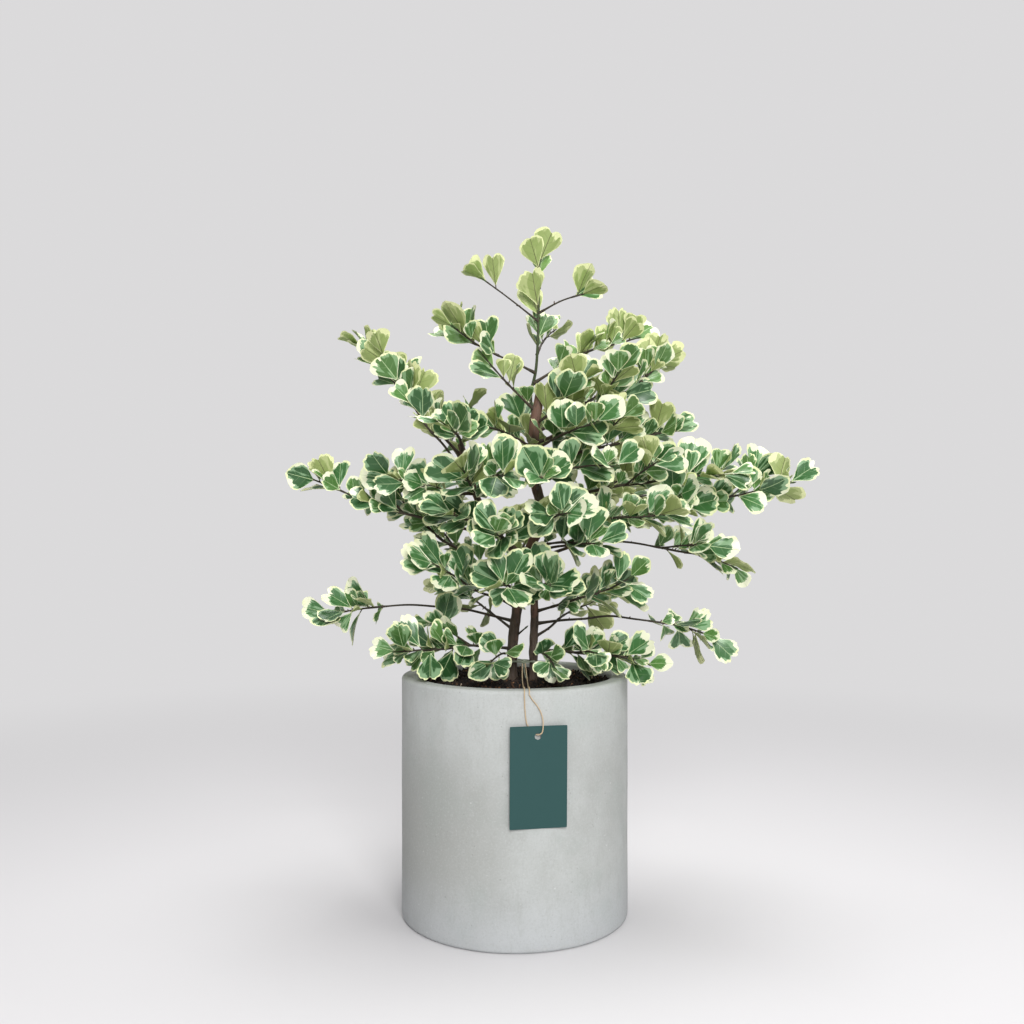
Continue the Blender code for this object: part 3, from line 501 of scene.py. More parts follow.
leafRule = {
    "corner": 0.68, "halfWidth": 0.42, "lobe": 0.56, "notch": 0.89, "smallCorner": 0.90,
    "smallLength": 0.041, "turn": math.radians(137.5), "tries": 26, "shrinkAfter": 9,
    "shrink": 0.82, "thick": 0.0008, "lowCrown": 0.36, "highCrown": 0.80,
    "sideways": 0.8, "upwards": 0.9, "downwards": 0.65, "ahead": 0.55, "aheadAtTip": 1.45,
    "lowLift": -0.05, "highLift": 1.05, "mixedCrown": 0.35, "underShare": 0.75,
    "underTurn": -0.8, "backSpray": 0.06, "nearAxis": 0.03, "tipShare": 0.97, "lastShare": 0.99,
    "turnVaries": 0.7, "aheadVaries": (-0.15, 0.25), "liftVaries": 0.3, "outward": 0.3, "skyward": 0.65,
    "faceVaries": 0.5, "lengths": (0.80, 1.12), "tipLength": 0.86, "halves": (0.86, 1.1),
    "folds": (0.12, 0.5), "curls": (-0.05, 0.28), "skew": 0.06, "notches": (0.0, 0.0, 0.0, 0.05, 0.13),
    "match": 0.00025,  # how near the solid's own corners have to be
}
leafRow = namedtuple("leafRow", "root along across face length half fold curl notch skew small crown")


def leafTry(spray, wood, part, index, share, attempt):
    draw = random.Random(f"{spray.name} {part} {index} {attempt}")
    rule = leafRule
    atTip = share > rule["tipShare"]
    place, ahead = wood.at(share)
    crown = min(1.0, max(0.0, (place.z - rule["lowCrown"]) / (rule["highCrown"] - rule["lowCrown"])))
    side = Vector((-ahead.y, ahead.x, 0.0)).normalized()
    over = side.cross(ahead) * -1
    turn = index * rule["turn"] + draw.uniform(-rule["turnVaries"], rule["turnVaries"])
    rise = math.sin(turn)
    spread = side * rule["sideways"] * math.cos(turn)
    spread += over * rise * rule["upwards" if rise > 0 else "downwards"]
    forward = rule["aheadAtTip" if atTip else "ahead"] + draw.uniform(*rule["aheadVaries"])
    lift = rule["lowLift"] + (rule["highLift"] - rule["lowLift"]) * crown
    lift += draw.uniform(-rule["liftVaries"], rule["liftVaries"])
    along = (ahead * forward + spread + Vector((0, 0, lift))).normalized()
    outward = Vector((place.x, place.y, 0.0))
    outward = outward.normalized() if outward.length > rule["nearAxis"] else Vector((0, -1, 0))
    toFront = 1.0 if spray.tip[1] < rule["backSpray"] else 0.1
    under = draw.random() < rule["underShare"] * (crown - rule["mixedCrown"]) / (1 - rule["mixedCrown"])
    sunny = rule["underTurn"] if under else 1.0
    face = Vector((0, -toFront * sunny, 0)) + outward * rule["outward"] * sunny
    face += Vector((0, 0, rule["skyward"]))
    face += Vector([draw.uniform(-rule["faceVaries"], rule["faceVaries"]) for _ in range(3)])
    face = (face - along * face.dot(along)).normalized()
    length = spray.size * draw.uniform(*rule["lengths"]) * (rule["tipLength"] if atTip else 1.0)
    if attempt >= rule["shrinkAfter"]:
        length *= rule["shrink"]
    return leafRow(
        place, along, along.cross(face), face, length,
        length * rule["halfWidth"] * draw.uniform(*rule["halves"]),
        draw.uniform(*rule["folds"]), draw.uniform(*rule["curls"]),
        rule["notch"] + draw.choice(rule["notches"]),
        draw.uniform(-rule["skew"], rule["skew"]), length < rule["smallLength"], crown,
    )


def solidCorners(leaf):
    # Where the solid has the corners, lobes and notch of this leaf, on its upper face
    right = [(leafRule["corner"], leaf.half), (1.0, leaf.half * leafRule["lobe"])]
    if leaf.small:
        right = [(leafRule["smallCorner"], leaf.half)]
    outline = [(share + leaf.skew, half) for share, half in right] + [(leaf.notch, 0.0)]
    outline += [(share - leaf.skew, -half) for share, half in right]
    for share, aside in outline:
        rise = leaf.fold * abs(aside) - leaf.curl * leaf.length * share ** 2
        rise += leafRule["thick"] / 2
        yield leaf.root + leaf.along * share * leaf.length + leaf.across * aside + leaf.face * rise


def vertexTree(node):
    vertices = cadNodes[node].data.vertices
    tree = KDTree(len(vertices))
    for vertex in vertices:
        tree.insert(vertex.co, vertex.index)
    tree.balance()
    return tree


def findLeaves(spray, woods):
    # Of the tries that each leaf had, the one that the solid kept
    solid = vertexTree(spray.name)
    found, last = [], leafRule["lastShare"]
    for part, wood in enumerate(woods):
        count, bare = (spray.leaves, spray.bare) if part == 0 else (twig["forkLeaves"], twig["forkBare"])
        for index in range(count):
            share = bare + (1 - bare) * (index + 0.75) / count if index < count - 1 else last
            for attempt in range(leafRule["tries"]):
                leaf = leafTry(spray, wood, part, index, share, attempt)
                if all(solid.find(corner)[2] < leafRule["match"] for corner in solidCorners(leaf)):
                    found.append(leaf)
                    wood.leafShares.append(share)
                    break
    return found


# Small leaves on the bare stretches of the twigs, which the solids don't have. Each is clear of the rest

overSoil = ("spray_front_low_left", "spray_front_low_right")
fillRule = {
    "spacing": 0.0076, "tries": 26, "sizes": (0.024, 0.043), "roll": 1.0, "clear": 0.0014,
    "stalk": 0.24,  # the part of a leaf's length that may come near to others
    "nearby": 0.09, "edge": 0.002,
    "startLeafy": 0.50, "startBare": 0.90, "bareTwig": 0.6, "end": 0.97,  # where on the twig they are
    "startHigh": 0.22, "highRoot": 0.57,  # the leaves that hide the old stem's cut end
    # Twigs with their tips further right or lower are denser, higher ones airier
    "right": 0.15, "low": 0.36, "high": 0.70, "share": 0.64, "shareDense": 1.0, "shareHigh": 0.3,
    "none": ("leader", *overSoil),
}


def isClear(points, room, solids, added):
    if any(not low + fillRule["edge"] < value < high - fillRule["edge"]
           for point in points for low, value, high in zip(cadLow, point, cadHigh)):
        return False
    if solids.overlap(room) or any(solids.find_nearest(point, fillRule["clear"])[0] for point in points):
        return False
    near = [other for middle, other in added if (middle - points[0]).length < fillRule["nearby"]]
    return not any(other.overlap(room) or any(
        other.find_nearest(point, fillRule["clear"])[0] for point in points) for other in near)


def leafPoints(leaf):
    corners = list(solidCorners(leaf))
    points = [leaf.root + leaf.along * leaf.length * fillRule["stalk"], *corners]
    return points + [points[0].lerp(corner, 0.5) for corner in corners]


def leafRoom(leaf, points):
    faces = [(0, 1, 2), (0, 2, 3)] if leaf.small else [(0, 1, 2), (0, 2, 3), (0, 3, 5), (0, 5, 4)]
    return BVHTree.FromPolygons(points, faces)


def fillStart(spray, wood, bare):
    if wood.line[0].z > fillRule["highRoot"] and spray.carrier == "stem_main":
        return bare * fillRule["startHigh"]
    return bare * fillRule["startBare" if bare > fillRule["bareTwig"] else "startLeafy"]


def fillShare(x, _, z):
    if x > fillRule["right"] or z < fillRule["low"]:
        return fillRule["shareDense"]
    return fillRule["shareHigh" if z > fillRule["high"] else "share"]


def fillLeaves(spray, woods, solids, added):
    draw = random.Random(spray.name + " fill")
    found = []
    for part, wood in enumerate(() if spray.name in fillRule["none"] else woods):
        start = fillStart(spray, wood, spray.bare if part == 0 else twig["forkBare"])
        span = fillRule["end"] - start
        count = int(wood.length * span / fillRule["spacing"])
        for index in range(count):
            place = start + span * (index + draw.random()) / count
            row = spray._replace(name=spray.name + " fill", size=draw.uniform(*fillRule["sizes"]))
            if draw.random() > fillShare(*spray.tip):
                continue
            for attempt in range(fillRule["tries"]):
                leaf = leafTry(row, wood, part, index, place, attempt)
                roll = draw.uniform(-fillRule["roll"], fillRule["roll"])
                face = leaf.face * math.cos(roll) + leaf.across * math.sin(roll)
                leaf = leaf._replace(face=face, across=leaf.along.cross(face))
                points = leafPoints(leaf)
                room = leafRoom(leaf, points)
                if isClear(points, room, solids, added):
                    added.append((points[0], room))
                    found.append(leaf)
                    wood.leafShares.append(place)
                    break
    return found


# The solids' leaves lie much alike in each cluster: the visible ones are tilted as far as there is room

tiltRule = {"roll": 0.60, "swing": 0.28, "nod": 0.25, "tries": 10, "none": ("leader",)}


def fixedTree(grown):
    # What leaves have to stay clear of: the twigs, and all that isn't a spray
    points, faces = [], []
    for name, node in cadNodes.items():
        if name in stems or name in ("pot", "soil", "tag"):
            first = len(points)
            points += [vertex.co for vertex in node.data.vertices]
            faces += [tuple(first + index for index in face.vertices) for face in node.data.polygons]
    for wood in (wood for _, woods, _ in grown for wood in woods):
        for a, b in zip(wood.line, wood.line[1:]):
            faces.append((len(points), len(points) + 1, len(points) + 2))
            points += [a, b, a + Vector((0, 0, 2 * twig["tipRadius"]))]
    return BVHTree.FromPolygons(points, faces)


def tiltLeaves(grown, fixed):
    rooms = {}
    for spray, _, leaves in grown:
        for number, leaf in enumerate(leaves):
            points = leafPoints(leaf)
            rooms[spray.name, number] = points[0], leafRoom(leaf, points)
    for spray, _, leaves in grown:
        draw = random.Random(spray.name + " tilt")
        for number, leaf in enumerate(leaves if spray.name not in tiltRule["none"] else ()):
            others = [room for key, room in rooms.items() if key != (spray.name, number)]
            near = [room for room in others if (room[0] - leaf.root).length < fillRule["nearby"]]
            for _ in range(tiltRule["tries"]):
                turn = Quaternion(leaf.face, draw.uniform(-1, 1) * tiltRule["swing"])
                turn @= Quaternion(leaf.across, draw.uniform(-1, 1) * tiltRule["nod"])
                turn @= Quaternion(leaf.along, draw.uniform(-1, 1) * tiltRule["roll"])
                other = leaf._replace(
                    along=turn @ leaf.along, across=turn @ leaf.across, face=turn @ leaf.face)
                points = leafPoints(other)
                room = leafRoom(other, points)
                if isClear(points, room, fixed, near):
                    leaves[number] = other
                    rooms[spray.name, number] = points[0], room
                    break
    return list(rooms.values())


def growFrame():
    carriers = {
        name: Wood(smoothLine(row.points, twig["stemStep"]), row.footRadius, row.topRadius)
        for name, row in stems.items()
    }
    grown = []
    for spray in sprays:
        mainTwig = Wood(sprayLine(spray, carriers), spray.radius, twig["tipRadius"])
        carriers[spray.name] = mainTwig
        woods = [mainTwig]
        for number in range(spray.forks):
            woods.append(Wood(forkLine(mainTwig, spray, number), twig["forkRadius"], twig["tipRadius"]))
        grown.append((spray, woods, findLeaves(spray, woods)))
    print(f"frame: {sum(len(leaves) for _, _, leaves in grown)} leaves found in the solids")
    fixed = fixedTree(grown)
    rooms = tiltLeaves(grown, fixed)
    for spray, woods, leaves in grown:
        leaves += fillLeaves(spray, woods, fixed, rooms)
    print(f"frame: {sum(len(leaves) for _, _, leaves in grown)} leaves with the small ones added")
    return grown


# Leaf blades: nineteen flat shapes, which the nodes below put in place, fold and curl

leafShape = {
    "middle": 0.58,  # how far out the inner column runs
    "scallop": 0.018,
    "thick": 0.00042,
    "rib": 0.0006,
    "slant": 0.38,  # the side veins', so that the faces follow them
    "pleat": 0.00006,
    "stalkThick": 2.2, "ribStep": 0.028, "notchStep": 0.012,
    "flat": (0.01, 0.02),  # its size until the nodes place it
    "shapes": {"blunt": 3, "heart": 5, "lobed": 5, "oval": 2, "small": 4},
}
# Outline of one half, from the stalk to the notch: share along the leaf, share of the half width
leafOutlines = {
    "heart": ((0.0, 0.035), (0.09, 0.045), (0.17, 0.11), (0.28, 0.29), (0.40, 0.50), (0.52, 0.72),
              (0.64, 0.91), (0.76, 1.0), (0.86, 0.95), (0.93, 0.82), (0.985, 0.64), (1.005, 0.45),
              (0.985, 0.27), (0.94, 0.13), (0.89, 0.0)),
    "lobed": ((0.0, 0.035), (0.09, 0.045), (0.18, 0.12), (0.30, 0.31), (0.43, 0.53), (0.55, 0.77),
              (0.66, 0.94), (0.77, 1.0), (0.84, 0.86), (0.89, 0.85), (0.96, 0.70), (0.955, 0.53),
              (1.01, 0.40), (0.98, 0.20), (0.89, 0.0)),
    "blunt": ((0.0, 0.035), (0.09, 0.045), (0.17, 0.12), (0.28, 0.31), (0.40, 0.53), (0.52, 0.75),
              (0.63, 0.93), (0.75, 1.0), (0.84, 0.94), (0.90, 0.80), (0.95, 0.61), (0.975, 0.44),
              (0.98, 0.27), (0.965, 0.13), (0.94, 0.0)),
    "oval": ((0.0, 0.035), (0.09, 0.045), (0.17, 0.18), (0.28, 0.42), (0.40, 0.66), (0.52, 0.86),
             (0.63, 0.97), (0.73, 0.98), (0.82, 0.86), (0.89, 0.69), (0.94, 0.51), (0.975, 0.35),
             (1.0, 0.21), (1.015, 0.10), (1.02, 0.0)),
    "small": ((0.0, 0.05), (0.10, 0.06), (0.18, 0.15), (0.30, 0.31), (0.42, 0.49), (0.54, 0.67),
              (0.65, 0.84), (0.76, 0.97), (0.86, 1.0), (0.92, 0.86), (0.955, 0.68), (0.96, 0.48),
              (0.95, 0.29), (0.92, 0.13), (0.90, 0.0)),
}


def shapeHalf(kind, draw):
    half = []
    last = len(leafOutlines[kind]) - 1
    for number, (share, aside) in enumerate(leafOutlines[kind]):
        wave = leafShape["scallop"] * (1 if 4 < number < last else 0)
        half.append((share + draw.uniform(-wave, wave) * 0.6, aside + draw.uniform(-wave, wave)))
    return half


def makeLeafShape(kind, number, home):
    # A closed thin blade: both faces share the margin, and the midrib stands out below
    draw = random.Random(f"{kind} {number}")
    form = leafShape
    halves = [shapeHalf(kind, draw), shapeHalf(kind, draw)]
    notch = (halves[0][-1][0] + halves[1][-1][0]) / 2
    last = len(halves[0]) - 1
    thick = form["thick"] / 2
    points, blades, levels, faces, under = [], [], [], [], []

    def corner(across, along, edge, level):
        points.append((across * form["flat"][0], along * form["flat"][1], level))
        blades.append((across, along, edge))
        levels.append(level)
        return len(points) - 1

    ribs = []
    for i in range(last):
        share, aside = ((a + b) / 2 for a, b in zip(halves[0][i], halves[1][i]))
        along = max(form["ribStep"] * i, share - aside * form["slant"])
        along = min(notch - form["notchStep"] * (last - i), along)
        above = thick * (form["stalkThick"] if i < 2 else 1.0)
        below = -above - form["rib"] * (1 - i / last)
        ribs.append((corner(0.0, along, aside, above), corner(0.0, along, aside, below)))
    tip = corner(0.0, notch, 0.0, 0.0)
    for sign, half in zip((1, -1), halves):
        margin, upper, lower = [], [], []
        for i in range(last):
            share, aside = half[i]
            rib = blades[ribs[i][0]][1]
            along = rib + (share - rib) * form["middle"]
            across = aside * form["middle"]
            near = min(aside - across, math.hypot((1.0 - along) * 2.2, 0.35 * across))
            pleat = form["pleat"] * (-1) ** i * min(1.0, aside)
            margin.append(corner(sign * aside, share, 0.0, 0.0))
            upper.append(corner(sign * across, along, near, thick + pleat))
            lower.append(corner(sign * across, along, near, pleat - thick))
        for i in range(last):
            ends = (tip,) * 5 if i == last - 1 else (
                ribs[i + 1][0], ribs[i + 1][1], upper[i + 1], lower[i + 1], margin[i + 1])
            for side, face in (
                (0, (ribs[i][0], upper[i], ends[2], ends[0])), (0, (upper[i], margin[i], ends[4], ends[2])),
                (1, (ribs[i][1], ends[1], ends[3], lower[i])), (1, (lower[i], ends[3], ends[4], margin[i])),
            ):
                face = tuple(dict.fromkeys(face))
                faces.append(face if sign > 0 else face[::-1])
                under.append(float(side))
        if sign > 0:
            right = (margin[0], upper[0], lower[0])
    left = (margin[0], upper[0], lower[0])
    faces += [(ribs[0][0], ribs[0][1], right[2], right[0], right[1]),
              (ribs[0][1], ribs[0][0], left[1], left[0], left[2])]
    under += [1.0, 1.0]
    mesh = polygonMesh(f"leafShape_{kind}_{number}", points, faces)
    setValues(mesh, "blade", "FLOAT_VECTOR", blades)
    setValues(mesh, "bladeLevel", "FLOAT", levels)
    setValues(mesh, "underside", "FLOAT", under, "FACE")
    sharp = mesh.attributes.new("sharp_edge", "BOOLEAN", "EDGE")
    onMargin = {index for index, blade in enumerate(blades) if blade[2] == 0.0}
    sharp.data.foreach_set("value", [set(edge.vertices) <= onMargin for edge in mesh.edges])
    home.objects.link(bpy.data.objects.new(mesh.name, mesh))


def makeLeafShapes():
    # The collection that the leaves are picked from, in name order, and the numbers of each kind
    home = bpy.data.collections.new("leafShapes")
    numbers = {}
    for kind, count in sorted(leafShape["shapes"].items()):
        numbers[kind] = range(len(home.objects), len(home.objects) + count)
        for number in range(count):
            makeLeafShape(kind, number, home)
    return home, numbers


def makeLeafTree(home, material):
    # Puts a blade on each point, then folds it along the midrib, curls it and ripples its margin
    tree, (points, home, material, ripples) = newNodesTree("leafSpray", {
        "Leaf Shapes": ("Collection", home), "Leaf Material": ("Material", material),
        "Ripples": ("Float", 15.0)})
    placed = pickedFrom(tree, home, points, **{"Instance Index": attribute(tree, "leafPick", "INT")})
    real = addNode(tree, "GeometryNodeRealizeInstances", {"Geometry": placed})
    across, along, _ = attribute(tree, "blade").parts()
    fold, curl, ripple = attribute(tree, "leafBend").parts()
    skew, phase, _ = attribute(tree, "leafTwist").parts()
    aside = abs(across)
    wave = (along * ripples + phase).calc("SINE") * ripple * (aside * across)
    rise = aside * fold - along * along * curl + (wave + attribute(tree, "bladeLevel", "FLOAT"))
    place = attribute(tree, "leafRoot")
    for name, share in (("leafAlong", along + across * skew), ("leafAcross", across), ("leafFace", rise)):
        place = place.vector("ADD", attribute(tree, name).vector("SCALE", scale=share))
    bent = addNode(tree, "GeometryNodeSetPosition", {"Geometry": out(real), "Position": place})
    return closeTree(tree, out(bent), material)


leafForm = {
    "smallKinds": ("small", "small", "heart", "lobed", "oval"), "bluntNotch": 0.92, "ovalNotch": 0.98,
    "slim": (0.86, 1.04), "overSoilSize": 0.86,  # shares of the solid's width, and of its size over the soil
    "ripple": 0.05, "youngCrown": 0.55, "youngSmall": 0.25,
    "innerRadius": 0.14, "innerShadeAndAge": 0.15,  # leaves near the stems are darker: partly painted shade inside the crown, partly their older, deeper green
    "attributes": ("leafRoot", "leafAlong", "leafAcross", "leafFace", "leafBend", "leafTwist", "leafLook"),
    "kept": ("blade", "leafLook"),  # the material reads these
}


def makeLeaves(spray, leaves, tree, numbers):
    draw = random.Random(spray.name + " looks")
    form = leafForm
    scale = form["overSoilSize"] if spray.name in overSoil else 1.0
    picks, rows = [], []
    for leaf in leaves:
        kind = draw.choice(form["smallKinds"] if leaf.small else ("heart", "lobed"))
        if not leaf.small and leaf.notch > form["bluntNotch"]:
            kind = "blunt" if leaf.notch < form["ovalNotch"] else "oval"
        picks.append(draw.choice(numbers[kind]))
        slim = draw.uniform(*form["slim"]) * scale
        ripple = leaf.length * form["ripple"] * draw.uniform(0.3, 1.0)
        phase = draw.uniform(0, math.tau)
        young = max(0.0, leaf.crown - form["youngCrown"]) * draw.random()
        young += (form["youngSmall"] if leaf.small else 0.0) * draw.random()
        # Near the stems the tone is lower: partly painted shade inside the crown, partly older leaves
        outer = min(1.0, math.hypot(leaf.root.x, leaf.root.y) / form["innerRadius"])
        tone = draw.random() * (form["innerShadeAndAge"] + (1 - form["innerShadeAndAge"]) * outer)
        rows.append((
            leaf.root, leaf.along * leaf.length * scale, leaf.across * leaf.half * slim, leaf.face,
            (leaf.fold * leaf.half * slim, leaf.curl * leaf.length, ripple), (leaf.skew, phase, 0.0),
            (draw.uniform(0, 50), young, tone)))
    mesh = bpy.data.meshes.new(spray.name + "_points")
    mesh.from_pydata([row[0] for row in rows], [], [])
    for name, values in zip(form["attributes"], zip(*rows)):
        setValues(mesh, name, "FLOAT_VECTOR", values)
    setValues(mesh, "leafPick", "INT", picks)
    piece = grow(spray.name + "_leaves", mesh, tree, {})
    for name in [layer.name for layer in piece.data.attributes]:
        if name.startswith(("leaf", "blade")) and name not in form["kept"]:
            piece.data.attributes.remove(piece.data.attributes[name])
    finishPiece(piece, "leaf", spray.name)


leafColours = {
    "deepGreen": (0.017, 0.066, 0.019),
    "midGreen": (0.062, 0.190, 0.052),
    "greyGreenAndSheen": (0.290, 0.460, 0.260),
    "cream": (0.800, 0.840, 0.480),
    "paleCream": (0.850, 0.870, 0.640),
    "youngGreen": (0.230, 0.400, 0.070),
    "underGreen": (0.280, 0.350, 0.115),
    "underCream": (0.760, 0.800, 0.420),
    "rib": (0.470, 0.620, 0.330),
    "underRib": (0.060, 0.036, 0.020),
    "stalk": (0.055, 0.042, 0.020),
}
leafPattern = {
    "marginWidth": 0.087, "marginPatch": 0.36, "marginVaries": 0.07, "jag": 0.07,
    "washNear": 0.20, "veins": 4.4, "veinShare": 0.13, "ribWidth": 0.038, "ribTaper": 0.022,
    "stalkEnd": 0.085, "bump": 0.0002,
}


def makeLeafMaterial():
    surface = Surface("variegatedLeaf", 0.4)
    look, pattern = leafColours, leafPattern
    across, along, edge = out(painted(surface.tree, "blade"), "Vector").parts()
    seed, young, tone = out(painted(surface.tree, "leafLook"), "Vector").parts()
    under = out(painted(surface.tree, "underside"), "Fac")
    aside = abs(across)
    # Washes and the jagged inner border of the margin fan out from the stalk, as the side veins do
    fan = out(addNode(surface.tree, "ShaderNodeCombineXYZ", {0: across / (along + 0.25), 1: along, 2: seed}))
    jag = noiseAt(fan.vector("MULTIPLY", (3.0, 1.5, 1.0)), 2.2, 2.2)
    smooth = noiseAt(fan.vector("MULTIPLY", (1.7, 0.8, 1.0)), 1.8, 1.0, 0.4)
    patch = noiseAt(fan.vector("ADD", (7.0, 3.0, 11.0)), 1.5, 1.5)
    width = (patch + tone * 0.16).step(0.55, 0.72) * pattern["marginPatch"] * (along.step(0.50, 1.0) + 0.14)
    width = width + (tone * pattern["marginVaries"] + pattern["marginWidth"])
    inside = edge + (jag - 0.5) * (width * 1.6 + pattern["jag"]) - width
    margin = inside.step(-0.012, 0.014, 1.0, 0.0)
    near = inside.step(0.0, 0.34, 1.0, 0.0)
    # The pale grey-green washes are the leaf's own streaks, made paler and wider to stand in partly for its
    # soft sheen: a painted highlight
    pale = (smooth + near * pattern["washNear"]).step(0.58, 0.66)
    # A low tone gives deep green; near the stems it carries painted shade as well as the leaves' age
    green = blend(tone * 0.80 + smooth * 0.30, look["deepGreen"], look["midGreen"])
    green = blend(pale * 0.72, green, look["greyGreenAndSheen"])
    green = blend(young, green, look["youngGreen"])
    # Side veins leave the midrib at a slant
    ladder = (along - aside * 0.34 + across.step(-0.01, 0.01) * 0.11) * pattern["veins"]
    side = abs(ladder.calc("FRACT") - 0.5).step(0.01, 0.09, 1.0, 0.0) * aside.step(0.80, 0.1)
    middle = (aside / (along * -pattern["ribTaper"] + pattern["ribWidth"])).step(0.5, 1.0, 1.0, 0.0)
    green = blend(side * pattern["veinShare"], green, look["rib"])
    cream = blend((patch + tone * 0.2).step(0.5, 0.7), look["cream"], look["paleCream"])
    top = blend(middle * 0.9, blend(margin, green, cream), look["rib"])
    below = blend(young * 0.6, look["underGreen"], look["youngGreen"])
    for share, name in (
        (pale * 0.3, "underCream"), (margin, "underCream"),
        (side * 0.2, "underRib"), (middle * 0.9, "underRib"),
    ):
        below = blend(share, below, look[name])
    stalk = along.step(pattern["stalkEnd"], pattern["stalkEnd"] + 0.05, 1.0, 0.0)
    return surface.paint(
        blend(stalk, blend(under, top, below), look["stalk"]), under * 0.24 + 0.34,
        smooth * 0.12 - (side * 0.30 + middle * 0.6), pattern["bump"])


# Wood: stems and twigs as tubes along their lines, with swollen joints, bark relief and tip buds

woodForm = {
    "stemSpacing": 0.0035, "twigSpacing": 0.0055, "stemSides": 28, "twigSides": 8,
    "oldestTwig": 0.45, "greenRadius": 0.0010, "browning": 0.0016,
    "joint": 0.32, "jointReach": 0.0028, "collar": 0.55, "collarReach": 0.007,
    "rootFlare": 0.28, "barkRelief": 0.00042, "twigRelief": 0.00012,
    "bud": (0.0, 0.0016, 0.0034, 0.0052, 0.0068), "budShape": (1.0, 1.35, 1.25, 0.8, 0.12),
    "collarStart": (0.005, 0.002),  # inside what carries it: a spray's twig, a side twig
    "spurEvery": 0.030, "spurLength": (0.0022, 0.0050), "spurRadius": 0.0008, "spurs": (0.12, 0.92),
    "stemSwell": 0.10, "stemSwellReach": 0.006, "mostSwell": 0.22, "flareReach": 0.010,
    "cutEnd": ((0.0024, 1.0), (0.0009, 0.90), (0.0, 0.62)),  # from the end, share of the radius
    "slimBrown": (0.88, 0.0), "slimGreen": (0.84, -0.55),  # share of the solid's radius, age if green
}


def makeWoodTree():
    tree, (lines, material, sides, relief, reliefScale) = newNodesTree("wood", {
        "Wood Material": ("Material", None), "Sides": ("Int", 8), "Relief": ("Float", 0.0001),
        "Relief Scale": ("Float", 160.0)})
    line = addNode(tree, "GeometryNodeMeshToCurve", {"Mesh": lines})
    ring = addNode(tree, "GeometryNodeCurvePrimitiveCircle", {"Resolution": sides, "Radius": 1.0})
    tube = addNode(tree, "GeometryNodeCurveToMesh", {
        "Curve": out(line), "Profile Curve": out(ring), "Scale": attribute(tree, "woodRadius", "FLOAT"),
        "Fill Caps": True})
    place, outward = (out(addNode(tree, "GeometryNodeInput" + kind)) for kind in ("Position", "Normal"))
    push = (noiseAt(place.vector("MULTIPLY", (1.0, 1.0, 0.28)), reliefScale) - 0.45) * relief
    bumpy = addNode(tree, "GeometryNodeSetPosition", {
        "Geometry": out(tube), "Offset": outward.vector("SCALE", scale=push)})
    smooth = addNode(tree, "GeometryNodeSetShadeSmooth", {"Geometry": out(bumpy)})
    return closeTree(tree, out(smooth), material)


def linesMesh(name, lines):
    # Each line is its points, its radii and how old its wood is, from 0 to 1
    points, edges, radii, ages = [], [], [], []
    for places, thick, age in lines:
        first = len(points)
        points += places
        radii += thick
        ages += age
        edges += [(first + i, first + i + 1) for i in range(len(places) - 1)]
    mesh = bpy.data.meshes.new(name)
    mesh.from_pydata(points, edges, [])
    setValues(mesh, "woodRadius", "FLOAT", radii)
    setValues(mesh, "woodAge", "FLOAT", ages)
    return mesh


def twigLine(wood, spacing, carried, slim, green):
    places = smoothLine(wood.line, spacing)
    lengths = lengthsAlong(places)
    joints = [share * lengths[-1] for share in wood.leafShares]
    thick, age = [], []
    for along in lengths:
        share = along / lengths[-1]
        radius = wood.radii[0] + (wood.radii[-1] - wood.radii[0]) * share
        swell = sum(math.exp(-((along - joint) / woodForm["jointReach"]) ** 2) for joint in joints)
        collar = math.exp(-max(0.0, along - carried) / woodForm["collarReach"])
        thick.append(slim * radius * (1 + woodForm["joint"] * min(1.0, swell) + woodForm["collar"] * collar))
        brown = min(1.0, max(0.0, (radius - woodForm["greenRadius"]) / woodForm["browning"]))
        age.append(green or woodForm["oldestTwig"] * brown)
    tip, ahead = places.pop(), (places[-1] - places[-2]).normalized()
    last = thick.pop()
    age.pop()
    for reach, shape in zip(woodForm["bud"], woodForm["budShape"]):
        places.append(tip + ahead * reach)
        thick.append(last * shape)
        age.append(-1.0)
    return places, thick, age


def spurLines(name, wood):
    # Short stubs that old leaves and side shoots left
    draw = random.Random(name)
    for _ in range(int(wood.length / woodForm["spurEvery"])):
        place, ahead = wood.at(draw.uniform(*woodForm["spurs"]))
        away = Vector([draw.uniform(-1, 1) for _ in range(3)]) + Vector((0, 0, 0.3))
        away = (away - ahead * away.dot(ahead)).normalized() + ahead * 0.5
        length = draw.uniform(*woodForm["spurLength"])
        radius = woodForm["spurRadius"]
        points = [place, place + away * length * 0.6, place + away * length]
        yield points, [radius, radius, radius * 0.55], [0.6] * 3


def makeTwigs(name, carrier, grown, tree, material):
    lines, replaced = [], []
    for spray, woods, _ in grown:
        if spray.carrier != carrier:
            continue
        replaced.append(spray.name)
        for part, wood in enumerate(woods):
            carried = woodForm["collarStart"][part > 0]
            slim, green = woodForm["slimGreen" if spray.name == "leader" else "slimBrown"]
            lines.append(twigLine(wood, woodForm["twigSpacing"], carried, slim, green))
            lines += spurLines(f"{spray.name} spurs {part}", wood)
    piece = grow(name, linesMesh(name, lines), tree, {
        "Wood Material": material, "Sides": woodForm["twigSides"], "Relief": woodForm["twigRelief"]})
    finishPiece(piece, "bark", *replaced)


